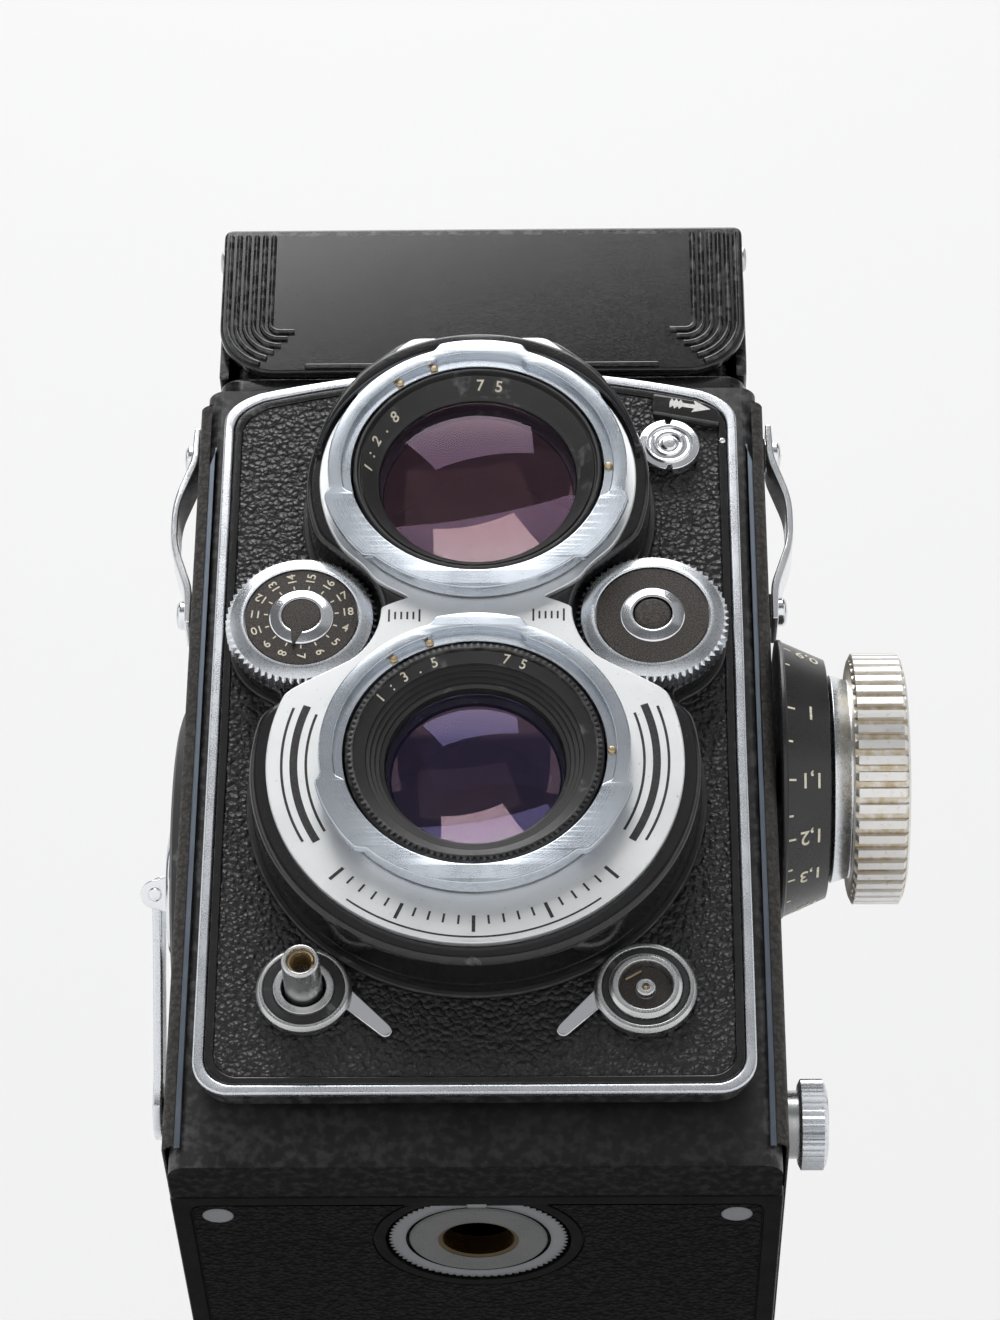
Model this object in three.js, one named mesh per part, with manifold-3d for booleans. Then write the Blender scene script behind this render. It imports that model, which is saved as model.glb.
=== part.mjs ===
// Twin lens reflex camera for 6x6 roll film, in millimetres.
// +Z is up, the lenses look along -Y, the focusing knob is on +X and the film crank on -X.
// The origin is on the underside, in the middle of the bottom flap of the back.

import * as THREE from 'three';
import { mergeVertices } from 'three/addons/utils/BufferGeometryUtils.js';
import Module from 'manifold-3d';

const wasm = await Module();
wasm.setup();

// ---------------------------------------------------------------- driving dimensions

const GAP = 0.3; // air between pieces that lie against each other
const RUN = 0.5; // clearance round pieces that slide or turn

const AXIS_SPACING = 42; // between the two lens axes
const TAKING_Z = 47;
const VIEWING_Z = TAKING_Z + AXIS_SPACING;

const CASTING = { halfWidth: 36.1, front: -34, back: 39, bottom: 2.1, top: 113.6, wall: 3 };
const LEATHER = 0.5;
const SIDE_X = CASTING.halfWidth + GAP + LEATHER; // outer face of the side leather

const PANEL = { halfWidth: 33.1, bottom: 6.5, corner: 106.6, crown: 112.4, radius: 4.5 };
const PANEL_FRONT = -38.8; // front face of the panel's metal plate
const PANEL_THICK = 2.2;
const TRIM_WIDTH = 1.25;
const TRIM_FRONT = -40;
const BOX = { halfWidth: 31, bottom: 12, top: 104, wall: 1.2, back: -28 };
const FOCUS_TRAVEL = 7.5; // how far the front moves out, which is the rear wall's guard

const HOUSING = { lowerR: 27.3, upperR: 21.7, front: -47.4 };
const PLATE = { lowerR: 25.2, upperR: 19.9, front: -48.4, top: 111, topHalf: 8.7 };
const RING = { inner: 15.9, outer: 18.75, lug: 19.6, front: -51.2 };
const BARREL_R = RING.inner - GAP;

const WHEEL = { x: 21.7, z: 69.2, r: 9.45, front: -46.6, back: -43.2, teeth: 26 };
const DIAL_R = 7.05;
const HUB_R = 3.85;
const CENTRE_R = 2.4;

const STUD = { x: 20.2, z: 19.8 }; // shutter release on -X, flash socket on +X
const RELEASE_R = 2.25;

const KNOB = { y: -20, z: 61.6, base: 17.8, shoulder: 15.1, grip: 16, teeth: 49 };
const CRANK = { y: 0, z: 57, bossR: 25, reach: 28, lean: THREE.MathUtils.degToRad(33) };

const FILM_Y = 33; // plane of the film
const GATE_HALF = 28; // half of the 56 mm picture
const TAKE_UP = { y: 26, z: 90 };
const FEED = { y: -13, z: 16 };
const SPOOL_R = 12.5;

const MIRROR_Y = 4; // where the viewing axis meets the mirror
const SCREEN_Z = 115.5;

const DOOR = { inner: 39.3, outer: 41.7, top: 105, flapFront: -26, flap: 1.8 };
const DOOR_AXIS = { y: 41.4, z: 108.4 };
const SOCKET_Y = -14; // tripod socket in the flap, with the back's lock ring round it

const HOOD = { halfWidth: 35, front: -32.3, back: 38.6, base: 113.9, rim: 120.2, top: 141 };
const APRON = { front: -34, thick: 1.4, bottom: 116.6, radius: 8 };
const FLAP = { x: 30.6, z: 121, thick: 0.8, height: 29, rear: 34.5 };

// ---------------------------------------------------------------- finishes

const finish = (color, roughness, metalness) => ({ color, roughness, metalness });
const BLACK_PAINT = finish(0x141414, 0.35, 0.2);
const LEATHERETTE = finish(0x1c1a19, 0.8, 0);
const SATIN_CHROME = finish(0xc9ccd0, 0.38, 1);
const CHROME = finish(0xe2e4e6, 0.15, 1);
const ALLOY = finish(0x8d949b, 0.5, 0.9);
const DIAL_BLACK = finish(0x221c1a, 0.5, 0.1);
const GLASS = finish(0x6d4fa0, 0.05, 0);
const SCREEN_GLASS = finish(0xe8ecea, 0.4, 0);
const SILVERED = finish(0xf4f6f8, 0.03, 1);
const BRASS = finish(0xb08a4a, 0.35, 1);
const SPOOL_BLACK = finish(0x26282b, 0.5, 0.3);

// ---------------------------------------------------------------- solids

// A closed geometry with merged vertices, no slivers and its faces pointing out.
function closed(geometry) {
  geometry.deleteAttribute('normal');
  geometry.deleteAttribute('uv');
  const merged = mergeVertices(geometry, 1e-4);
  const p = merged.attributes.position;
  const index = merged.index.array;
  const corners = [0, 1, 2].map(() => new THREE.Vector3());
  const kept = [];
  let volume = 0;
  for (let i = 0; i < index.length; i += 3) {
    const [a, b, c] = [index[i], index[i + 1], index[i + 2]];
    if (a === b || b === c || a === c) continue;
    corners.forEach((corner, k) => corner.fromBufferAttribute(p, index[i + k]));
    volume += corners[0].dot(corners[1].clone().cross(corners[2]));
    kept.push([a, b, c]);
  }
  const faces = volume < 0 ? kept.map(([a, b, c]) => [a, c, b]) : kept;
  merged.setIndex(faces.flat());
  return merged;
}

function toSolid(geometry) {
  const clean = closed(geometry);
  return new wasm.Manifold(new wasm.Mesh({
    numProp: 3,
    vertProperties: new Float32Array(clean.attributes.position.array),
    triVerts: new Uint32Array(clean.index.array),
  }));
}

function toGeometry(solid) {
  const mesh = solid.getMesh();
  const geometry = new THREE.BufferGeometry();
  geometry.setAttribute('position', new THREE.BufferAttribute(mesh.vertProperties, 3));
  geometry.setIndex(new THREE.BufferAttribute(mesh.triVerts, 1));
  return geometry;
}

const join = (first, ...rest) => rest.reduce((sum, solid) => sum.add(solid), first);
const cut = (first, ...rest) => rest.reduce((left, solid) => left.subtract(solid), first);

// A flat outline in two row axes, pushed along the third from `from` to `to`.
const TURNS = {
  x: new THREE.Matrix4().set(0, 0, 1, 0, 1, 0, 0, 0, 0, 1, 0, 0, 0, 0, 0, 1),
  y: new THREE.Matrix4().set(1, 0, 0, 0, 0, 0, -1, 0, 0, 1, 0, 0, 0, 0, 0, 1),
  z: new THREE.Matrix4(),
};

function prism(axis, shape, from, to, curveSegments = 4) {
  const depth = to - from;
  const geometry = new THREE.ExtrudeGeometry(shape, { depth, bevelEnabled: false, curveSegments });
  const start = axis === 'y' ? -to : from;
  geometry.translate(0, 0, start);
  geometry.applyMatrix4(TURNS[axis]);
  return toSolid(geometry);
}

function outline(points) {
  return new THREE.Shape(points.map(([u, v]) => new THREE.Vector2(u, v)));
}

function rectangle(u0, u1, v0, v1, radius = 0) {
  const shape = new THREE.Shape();
  if (radius === 0) {
    return outline([[u0, v0], [u1, v0], [u1, v1], [u0, v1]]);
  }
  shape.moveTo(u0 + radius, v0);
  shape.lineTo(u1 - radius, v0);
  shape.absarc(u1 - radius, v0 + radius, radius, -Math.PI / 2, 0);
  shape.lineTo(u1, v1 - radius);
  shape.absarc(u1 - radius, v1 - radius, radius, 0, Math.PI / 2);
  shape.lineTo(u0 + radius, v1);
  shape.absarc(u0 + radius, v1 - radius, radius, Math.PI / 2, Math.PI);
  shape.lineTo(u0, v0 + radius);
  shape.absarc(u0 + radius, v0 + radius, radius, Math.PI, Math.PI * 1.5);
  return shape;
}

const block = (x0, x1, y0, y1, z0, z1) => prism('x', rectangle(y0, y1, z0, z1), x0, x1);

// A turned solid. The profile is a closed list of [radius, place along the axis].
function turned(axis, profile, u, v, segments = 28) {
  const points = profile.map(([radius, along]) => new THREE.Vector2(radius, along));
  const onAxis = profile[0][0] === 0;
  if (!onAxis) points.push(points[0].clone());
  const geometry = new THREE.LatheGeometry(points, segments);
  if (axis === 'x') {
    geometry.applyMatrix4(new THREE.Matrix4().set(0, 1, 0, 0, 0, 0, 1, u, 1, 0, 0, v, 0, 0, 0, 1));
  } else if (axis === 'y') {
    geometry.translate(u, 0, v);
  } else {
    geometry.applyMatrix4(new THREE.Matrix4().set(1, 0, 0, u, 0, 0, -1, v, 0, 1, 0, 0, 0, 0, 0, 1));
  }
  return toSolid(geometry);
}

const disc = (axis, radius, from, to, u, v, segments = 28) => (
  turned(axis, [[0, from], [radius, from], [radius, to], [0, to]], u, v, segments));

const tube = (axis, inner, outer, from, to, u, v, segments = 28) => (
  turned(axis, [[inner, from], [outer, from], [outer, to], [inner, to]], u, v, segments));

// An outline round (u, v) whose radius steps between two values, for a knurled edge.
function toothed(u, v, low, high, teeth, steps) {
  const points = [];
  for (let i = 0; i < teeth; i += 1) {
    for (const [fraction, isHigh] of steps) {
      const angle = ((i + fraction) / teeth) * Math.PI * 2;
      const radius = isHigh ? high : low;
      points.push([u + radius * Math.cos(angle), v + radius * Math.sin(angle)]);
    }
  }
  return outline(points);
}

// ---------------------------------------------------------------- the assembly

const camera = new THREE.Group();

function add(name, solid, look) {
  const mesh = new THREE.Mesh(toGeometry(solid), new THREE.MeshStandardMaterial(look));
  mesh.name = name;
  camera.add(mesh);
}

// ---------------------------------------------------------------- body

// The casting is a box with a front wall and two sides. It is open at the back and below,
// where the back closes it, and at the top, under the finder hood.
function bodyCasting() {
  const { halfWidth: w, front, back, bottom, top, wall } = CASTING;
  const shoulder = rectangle(-w, w, front, back + 8, 2.4);
  const outer = prism('z', shoulder, 0, top).intersect(block(-w, w, front, back, 0, top));
  const inside = block(-w + wall, w - wall, front + wall, back + 1, bottom, top + 1);
  const underside = block(-w - 1, w + 1, DOOR.flapFront - GAP, back + 1, -1, bottom);
  const frontHole = block(-BOX.halfWidth - RUN, BOX.halfWidth + RUN, front - 1, front + wall + 1,
    BOX.bottom - RUN, BOX.top + RUN);
  const shell = cut(outer, inside, underside, frontHole);
  const holes = [
    disc('x', 3.5, w - wall - 1, w + 1, KNOB.y, KNOB.z, 20),
    disc('x', 2.5, w - wall - 1, w + 1, TAKE_UP.y, TAKE_UP.z, 16),
    disc('x', 2.5, w - wall - 1, w + 1, FEED.y, FEED.z, 16),
    disc('x', 3.5, -w - 1, -w + wall + 1, CRANK.y, CRANK.z, 20),
  ];
  const hingeBar = block(-w + 1, w - 1, back - 4, back, top - 7, top);
  const lug = join(
    block(-9, 9, back - 1, DOOR_AXIS.y, DOOR_AXIS.z - 1.6, DOOR_AXIS.z + 1.6),
    disc('x', 1.6, -9, 9, DOOR_AXIS.y, DOOR_AXIS.z, 16),
    disc('x', 0.8, -21, 21, DOOR_AXIS.y, DOOR_AXIS.z, 12),
  );
  return join(cut(shell, ...holes), hingeBar, lug);
}

function sideLeather(side) {
  const { halfWidth, front, back, bottom, top } = CASTING;
  const inner = halfWidth + GAP;
  const sheet = rectangle(front + 0.6, back - 0.6, bottom + 0.6, top - 0.9, 1.5);
  const holes = side > 0
    ? [[KNOB.y, KNOB.z, 3.5], [TAKE_UP.y, TAKE_UP.z, 2.5], [FEED.y, FEED.z, 2.5]]
    : [[CRANK.y, CRANK.z, 3.5]];
  for (const [y, z, radius] of holes) {
    const path = new THREE.Path();
    path.absarc(y, z, radius, 0, Math.PI * 2);
    sheet.holes.push(path);
  }
  const [from, to] = side > 0 ? [inner, inner + LEATHER] : [-inner - LEATHER, -inner];
  return prism('x', sheet, from, to);
}

// A strap lug is a sprung strip that bridges two studs, with room for the strap's clip.
function strapLug(side) {
  const place = { y: -25, low: 84, high: 109 };
  const base = SIDE_X + GAP;
  const strip = [
    [0, place.low - 3], [1.1, place.low - 3], [1.3, place.low + 2], [3.5, place.low + 9],
    [3.5, place.high - 9], [1.3, place.high - 2], [1.1, place.high + 3], [0, place.high + 3],
    [0, place.high - 3], [2.5, place.high - 9.5], [2.5, place.low + 9.5], [0, place.low + 3],
  ];
  const shape = outline(strip.map(([out, z]) => [side * (base + out), z]));
  const studs = [place.low, place.high].map((z) => {
    const [from, to] = side > 0 ? [base, base + 1.9] : [-base - 1.9, -base];
    return disc('x', 1.9, from, to, place.y, z, 14);
  });
  return join(prism('y', shape, place.y - 3, place.y + 3), ...studs);
}

// ---------------------------------------------------------------- film path

const CONE = { front: -27.2, halfFront: 13.5, wall: 1.2, back: FILM_Y - 2 };

function lightCone() {
  const taper = (front, back, y0, y1) => {
    const half = outline([[-1, -1], [1, -1], [1, 1], [-1, 1]]);
    const geometry = new THREE.ExtrudeGeometry(half, { depth: 1, bevelEnabled: false });
    const p = geometry.attributes.position;
    for (let i = 0; i < p.count; i += 1) {
      const t = p.getZ(i);
      const size = front + (back - front) * t;
      p.setXYZ(i, p.getX(i) * size, y0 + (y1 - y0) * t, p.getY(i) * size + TAKING_Z);
    }
    return toSolid(geometry);
  };
  const slope = (GATE_HALF - CONE.halfFront) / (CONE.back - CONE.front);
  const outer = taper(CONE.halfFront + CONE.wall, GATE_HALF + CONE.wall, CONE.front, CONE.back);
  const inner = taper(CONE.halfFront - slope, GATE_HALF + slope, CONE.front - 1, CONE.back + 1);
  return cut(outer, inner);
}

function filmGate() {
  const plate = block(-32.6, 32.6, CONE.back + GAP, FILM_Y, 14, 78);
  const picture = block(-GATE_HALF, GATE_HALF, CONE.back, FILM_Y + 1,
    TAKING_Z - GATE_HALF, TAKING_Z + GATE_HALF);
  const rail = (x) => block(x - 1, x + 1, FILM_Y - 0.2, FILM_Y + 0.3, 14, 78);
  return join(cut(plate, picture), rail(-30.6), rail(30.6));
}

function filmRoller(y, z) {
  const profile = [[0, -32.5], [1, -32.5], [1, -30.5], [2.2, -30.5], [2.2, 30.5], [1, 30.5],
    [1, 32.5], [0, 32.5]];
  return turned('x', profile, y, z, 16);
}

function takeUpSpool() {
  const end = 32.4;
  const flange = 1.1;
  const core = 5.6;
  const bore = 2.4;
  const profile = [[bore, -end], [SPOOL_R, -end], [SPOOL_R, -end + flange], [core, -end + flange],
    [core, end - flange], [SPOOL_R, end - flange], [SPOOL_R, end], [bore, end]];
  return turned('x', profile, TAKE_UP.y, TAKE_UP.z, 24);
}

function spoolKnob({ y, z }) {
  const base = SIDE_X + GAP;
  const profile = [[0, 31], [1.8, 31], [1.8, base], [4.2, base], [4.2, base + 1.6],
    [5.6, base + 2], [5.6, base + 5], [5, base + 5.6], [0, base + 5.6]];
  return turned('x', profile, y, z, 24);
}

// ---------------------------------------------------------------- finder

// A plate at 45 degrees under the screen: `under` and `over` are heights above the mirror line.
function slope(halfWidth, yFront, yBack, under, over) {
  const at = (y) => VIEWING_Z + (y - MIRROR_Y);
  const shape = outline([
    [yFront, at(yFront) + under], [yBack, at(yBack) + under],
    [yBack, at(yBack) + over], [yFront, at(yFront) + over],
  ]);
  return prism('x', shape, -halfWidth, halfWidth);
}

function mirrorCradle() {
  const tray = slope(32.6, -18, 26, -2.6, -1.4);
  const foot = block(-32.6, 32.6, -19.4, -18, 64.4, 67.4);
  const ledge = block(-32.6, 32.6, 25.6, 33, 108.9, 110.4);
  return join(tray, foot, ledge);
}

function groundGlass() {
  return block(-28.2, 28.2, -24.2, 32.2, SCREEN_Z, SCREEN_Z + 1.4);
}

function hoodBase() {
  const { halfWidth: w, front, back, base, rim } = HOOD;
  const shelf = SCREEN_Z - GAP;
  const plate = prism('z', rectangle(-w, w, front, back, 3), base, base + 3.3);
  const wall = prism('z', rectangle(-w + 2.4, w - 2.4, front + 1, back - 1.8, 2), base + 3, rim);
  const wellTop = block(-28.5, 28.5, -24.5, 32.5, shelf, rim + 1);
  const wellBottom = block(-27, 27, -23, 31, base - 1, shelf + 1);
  const wallInside = block(-w + 3.8, w - 3.8, front + 2.2, back - 3, base + 3.3, rim + 1);
  return cut(join(plate, wall), wellTop, wellBottom, wallInside);
}

function hoodApron() {
  const { front, thick, bottom, radius } = APRON;
  const w = HOOD.halfWidth;
  const shape = new THREE.Shape();
  shape.moveTo(-w + radius, bottom);
  shape.lineTo(w - radius, bottom);
  shape.absarc(w - radius, bottom + radius, radius, -Math.PI / 2, 0);
  shape.lineTo(w, HOOD.top);
  shape.lineTo(-w, HOOD.top);
  shape.lineTo(-w, bottom + radius);
  shape.absarc(-w + radius, bottom + radius, radius, Math.PI, Math.PI * 1.5);
  return prism('y', shape, front, front + thick);
}

const LID = { front: -31.3, wall: 1.2, bottom: 117.7 };
const LID_AXIS = { y: -31.9, z: HOOD.top };
const MAGNIFIER = { y: -12, z: 136.4, halfWidth: 14.5, length: 45, lensR: 11.6 };

function hoodLid() {
  const { halfWidth: w, back, top } = HOOD;
  const outer = prism('z', rectangle(-w, w, LID.front, back, LID.wall), LID.bottom, top);
  const inside = block(-w + LID.wall, w - LID.wall, LID.front - 1, back - LID.wall,
    LID.bottom - 1, top - LID.wall);
  const ear = (x) => block(x - 0.6, x + 0.6, MAGNIFIER.y - 1.6, MAGNIFIER.y + 1.6,
    MAGNIFIER.z - 1.4, top - 0.6);
  const reach = MAGNIFIER.halfWidth + 1;
  return join(cut(outer, inside), ear(-reach), ear(reach));
}

function sideFlap(side) {
  const { x, z, thick, height, rear } = FLAP;
  const y0 = -29;
  const near = side * (x - GAP);
  const waist = side * (x - height * 0.55);
  const far = side * (x - height);
  const mitre = 0.7;
  const clip = 5; // cut off the upper front corner, which the lid's plate passes as it opens
  const shape = outline([[near, y0], [waist, y0], [far, y0 + clip], [far, rear - height - mitre],
    [near, rear - GAP - mitre]]);
  return prism('z', shape, z - thick / 2, z + thick / 2);
}

function rearFlap() {
  const { x, z, thick, rear } = FLAP;
  const height = 27;
  const mitre = 0.7;
  const half = (t) => x - t - mitre;
  const shape = outline([[-half(GAP), rear - GAP], [half(GAP), rear - GAP],
    [half(height), rear - height], [-half(height), rear - height]]);
  return prism('z', shape, z - thick / 2, z + thick / 2);
}

function magnifierFrame() {
  const { y, z, halfWidth, length, lensR } = MAGNIFIER;
  const lensY = y + length - 15;
  const edge = rectangle(-halfWidth, halfWidth, y - 1, y + length, 4);
  const plate = prism('z', edge, z - 0.6, z + 0.6);
  const rim = disc('z', lensR + 1.4, z - 1.6, z + 1.4, 0, lensY, 24);
  return cut(join(plate, rim), disc('z', lensR + GAP, z - 3, z + 3, 0, lensY, 24));
}

function magnifierLens() {
  const { y, z, length, lensR } = MAGNIFIER;
  const profile = [[0, z - 1.9], [6, z - 1.6], [lensR, z - 0.6], [lensR, z + 0.5],
    [6, z + 1.4], [0, z + 1.7]];
  return turned('z', profile, 0, y + length - 15, 24);
}

// ---------------------------------------------------------------- front

// The panel's edge: straight sides, round lower corners and a top that rises to the middle.
function panelOutline(inset) {
  const w = PANEL.halfWidth - inset;
  const bottom = PANEL.bottom + inset;
  const corner = PANEL.corner - inset;
  const crown = PANEL.crown - inset;
  const r = PANEL.radius;
  const shoulder = corner + (crown - corner) * 0.25;
  const shape = new THREE.Shape();
  shape.moveTo(-w + r, bottom);
  shape.lineTo(w - r, bottom);
  shape.absarc(w - r, bottom + r, r, -Math.PI / 2, 0);
  shape.lineTo(w, corner - r * 0.6);
  shape.quadraticCurveTo(w, corner + 0.4, w - r, shoulder + 0.7);
  shape.quadraticCurveTo(0, 2 * crown - shoulder - 0.7, -w + r, shoulder + 0.7);
  shape.quadraticCurveTo(-w, corner + 0.4, -w, corner - r * 0.6);
  shape.lineTo(-w, bottom + r);
  shape.absarc(-w + r, bottom + r, r, Math.PI, Math.PI * 1.5);
  return shape;
}

// Bores through the front for the two lens barrels and the release button.
function frontBores(y0, y1, barrelR, releaseR) {
  return [
    disc('y', barrelR, y0, y1, 0, TAKING_Z),
    disc('y', barrelR, y0, y1, 0, VIEWING_Z),
    disc('y', releaseR, y0, y1, -STUD.x, STUD.z, 20),
  ];
}

function frontPanel() {
  const back = PANEL_FRONT + PANEL_THICK;
  const plate = prism('y', panelOutline(0.5), PANEL_FRONT, back, 5);
  const frame = cut(
    block(-BOX.halfWidth, BOX.halfWidth, back - 0.1, BOX.back, BOX.bottom, BOX.top),
    block(-BOX.halfWidth + BOX.wall, BOX.halfWidth - BOX.wall, back - 1, BOX.back + 1,
      BOX.bottom + BOX.wall, BOX.top - BOX.wall),
  );
  const bores = frontBores(PANEL_FRONT - 1, back + 1, RING.inner, RELEASE_R + RUN);
  return cut(join(plate, frame), ...bores);
}

function frontTrim() {
  const y1 = PANEL_FRONT - GAP;
  return cut(
    prism('y', panelOutline(0), TRIM_FRONT, y1, 5),
    prism('y', panelOutline(TRIM_WIDTH), TRIM_FRONT - 1, y1 + 1, 5),
  );
}

function frontLeather() {
  const y1 = PANEL_FRONT - GAP;
  const sheet = prism('y', panelOutline(TRIM_WIDTH + GAP), y1 - LEATHER, y1, 5);
  return cut(sheet, ...frontBores(y1 - 2, y1 + 1, RING.inner + GAP, 4));
}

const LEATHER_FRONT = PANEL_FRONT - GAP - LEATHER;
const SEAT = LEATHER_FRONT - GAP; // back face of everything mounted on the leather

// The shutter housing is a raised figure of eight with a pad under each wheel.
function shutterHousing() {
  const { lowerR, upperR, front } = HOUSING;
  const crown = outline([[-20, 92], [20, 92], [16.2, 106], [9.8, 111.8], [-9.8, 111.8],
    [-16.2, 106]]);
  const body = join(
    disc('y', lowerR, front, SEAT, 0, TAKING_Z, 36),
    disc('y', upperR, front, SEAT, 0, VIEWING_Z, 32),
    prism('y', crown, front, TRIM_FRONT - GAP),
    block(-11, 11, front, SEAT, 62, 76),
  );
  const wells = [-1, 1].map((side) => (
    disc('y', WHEEL.r + RUN, front - 1, WHEEL.back + GAP, side * WHEEL.x, WHEEL.z, 24)));
  const pads = [-1, 1].map((side) => (
    disc('y', 8.6, WHEEL.back + GAP, SEAT, side * WHEEL.x, WHEEL.z, 24)));
  const bores = [TAKING_Z, VIEWING_Z].map((z) => (
    disc('y', RING.inner, front - 1, SEAT + 1, 0, z, 36)));
  return cut(join(cut(body, ...wells), ...pads), ...bores);
}

// The satin plate on the housing carries both lens rings.
function nameplate() {
  const { lowerR, upperR, front, top, topHalf } = PLATE;
  const back = HOUSING.front - GAP;
  const crown = outline([[-18.2, 93], [18.2, 93], [14.6, 105], [topHalf, top], [-topHalf, top],
    [-14.6, 105]]);
  const body = join(
    disc('y', lowerR, front, back, 0, TAKING_Z, 36),
    disc('y', upperR, front, back, 0, VIEWING_Z, 32),
    prism('y', crown, front, back),
    block(-8, 8, front, back, 64, 74),
  );
  const wells = [-1, 1].map((side) => (
    disc('y', WHEEL.r + RUN, front - 1, back + 1, side * WHEEL.x, WHEEL.z, 24)));
  const bores = [TAKING_Z, VIEWING_Z].map((z) => (
    disc('y', RING.inner, front - 1, back + 1, 0, z, 36)));
  return cut(body, ...wells, ...bores);
}

// A bayonet ring: a plain collar with three outer lugs for a filter, a cap or a lens shade.
function bayonetRing(z) {
  const back = PLATE.front - GAP;
  const lugs = [89, 213, 327].map((middle) => {
    const shape = new THREE.Shape();
    const from = THREE.MathUtils.degToRad(middle - 16);
    const to = THREE.MathUtils.degToRad(middle + 16);
    shape.absarc(0, z, RING.lug, from, to);
    shape.absarc(0, z, RING.outer - 1, to, from, true);
    return prism('y', shape, RING.front, RING.front + 1.1);
  });
  return join(tube('y', RING.inner, RING.outer, RING.front, back, 0, z, 32), ...lugs);
}

// A black barrel that steps down to the glass and runs back through the housing.
function lensBarrel(z, glassR, back) {
  const r = glassR + GAP;
  const neck = r + 1.3;
  const profile = [
    [neck, back], [neck, -37.6], [BARREL_R, -37.6], [BARREL_R, -50.9], [14, -50.6],
    [13.7, -49], [r, -47.2], [r, -44], [r - 1, -44], [r - 1, back],
  ];
  return turned('y', profile, 0, z);
}

function frontGlass(z, r) {
  const profile = [[0, -46.5], [r * 0.5, -46.3], [r, -45.4], [r, -44.4], [r * 0.5, -44.1],
    [0, -44.1]];
  return turned('y', profile, 0, z);
}

// Leaf shutter, iris housing and rear cell, in one turned body behind the panel.
function shutterBody() {
  const front = PANEL_FRONT + PANEL_THICK + GAP;
  const profile = [[9, front], [23, front], [23, -30], [11.5, -30], [11.5, -23.5], [9, -23.5]];
  return turned('y', profile, 0, TAKING_Z);
}

const rearGlass = (z, y) => (
  turned('y', [[0, y], [8.6, y + 0.6], [8.6, y + 2.6], [0, y + 3.4]], 0, z, 24));

const irisBlades = () => tube('y', 3.2, 8.6, -33.6, -33.2, 0, TAKING_Z, 24);

// ---------------------------------------------------------------- controls on the front

function settingWheel(side, hasButton) {
  const x = side * WHEEL.x;
  const { z, r, front, back, teeth } = WHEEL;
  const edge = toothed(x, z, r - 0.75, r, teeth, [[0, true], [0.5, false]]);
  const rim = cut(
    prism('y', edge, front, back),
    disc('y', DIAL_R + GAP, front - 1, front + 1, x, z, 32),
  );
  const hub = disc('y', HUB_R, front - 0.2, back - 1, x, z, 28);
  if (hasButton) {
    return cut(join(rim, hub), disc('y', CENTRE_R + GAP, front - 1, front + 2, x, z, 20));
  }
  return join(rim, hub, disc('y', CENTRE_R, front - 0.9, front, x, z, 20));
}

const dialFace = (side) => (
  tube('y', HUB_R + GAP, DIAL_R, WHEEL.front + 0.15, WHEEL.front + 0.7, side * WHEEL.x, WHEEL.z, 24));

const couplingButton = () => (
  disc('y', CENTRE_R, WHEEL.front - 0.9, WHEEL.front + 0.6, WHEEL.x, WHEEL.z, 20));

function releaseButton() {
  const profile = [[0, -37.2], [RELEASE_R, -37.2], [RELEASE_R, -48.2], [1.4, -48.2], [1.2, -44],
    [0, -44]];
  return turned('y', profile, -STUD.x, STUD.z, 20);
}

const CATCH = { release: 5.7, flash: 6.1 }; // outer radius of the escutcheon over each catch

function releaseEscutcheon() {
  const profile = [[RELEASE_R + RUN, SEAT], [CATCH.release - 1.2, SEAT],
    [CATCH.release - 1.2, SEAT - 0.9], [CATCH.release, SEAT - 0.9], [CATCH.release, SEAT - 1.4],
    [4.6, SEAT - 1.9], [RELEASE_R + RUN, SEAT - 1.9]];
  return turned('y', profile, -STUD.x, STUD.z, 28);
}

// The flash socket: two bright rings with a black one between, and a pin in the recess.
function flashSocket() {
  const profile = [[0, SEAT], [CATCH.flash - 1.2, SEAT], [CATCH.flash - 1.2, SEAT - 0.9],
    [CATCH.flash, SEAT - 0.9], [CATCH.flash, SEAT - 1.4], [5.1, SEAT - 1.9], [4.9, SEAT - 1.3],
    [3.5, SEAT - 1.3], [3.3, SEAT - 2.1], [2.4, SEAT - 2.1], [2.4, SEAT - 0.5],
    [0.5, SEAT - 0.5], [0.5, SEAT - 1.8], [0, SEAT - 1.8]];
  return turned('y', profile, STUD.x, STUD.z, 28);
}

// A small catch: a flat collar under the escutcheon's edge with an arm that leans inwards.
function catchLever(side, radius) {
  const inner = radius - 1.2 + GAP;
  const x = side * STUD.x;
  const arm = outline([[inner + 0.05, -2], [9.6, -6], [10.6, -4.6], [inner + 0.4, 0.4]]
    .map(([u, v]) => [x - side * u, STUD.z + v]));
  return join(
    tube('y', inner, radius, SEAT - 0.6, SEAT, x, STUD.z, 24),
    prism('y', arm, SEAT - 0.6, SEAT),
  );
}

// A turned cover with two slots in its edge for a coin or a pin wrench.
function coverDisc() {
  const place = { x: 24.3, z: 99 };
  const front = SEAT - 1.9;
  const profile = [[0, SEAT], [3.95, SEAT], [3.95, front + 0.4], [3.6, front], [2.7, front],
    [2.5, front + 0.4], [1.9, front + 0.4], [1.7, front + 0.1], [0, front + 0.1]];
  const slots = [-1, 1].map((end) => block(place.x - 0.5, place.x + 0.5, front - 1, front + 0.9,
    place.z + end * 3.6 - 0.7, place.z + end * 3.6 + 0.7));
  return cut(turned('y', profile, place.x, place.z, 28), ...slots);
}

function arrowPlate() {
  const shape = outline([[22.4, 107.9], [22.2, 104.9], [30.9, 103], [30.9, 105.2], [29, 106.4]]);
  return prism('y', shape, SEAT - 0.7, SEAT);
}

// ---------------------------------------------------------------- focusing knob

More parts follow.
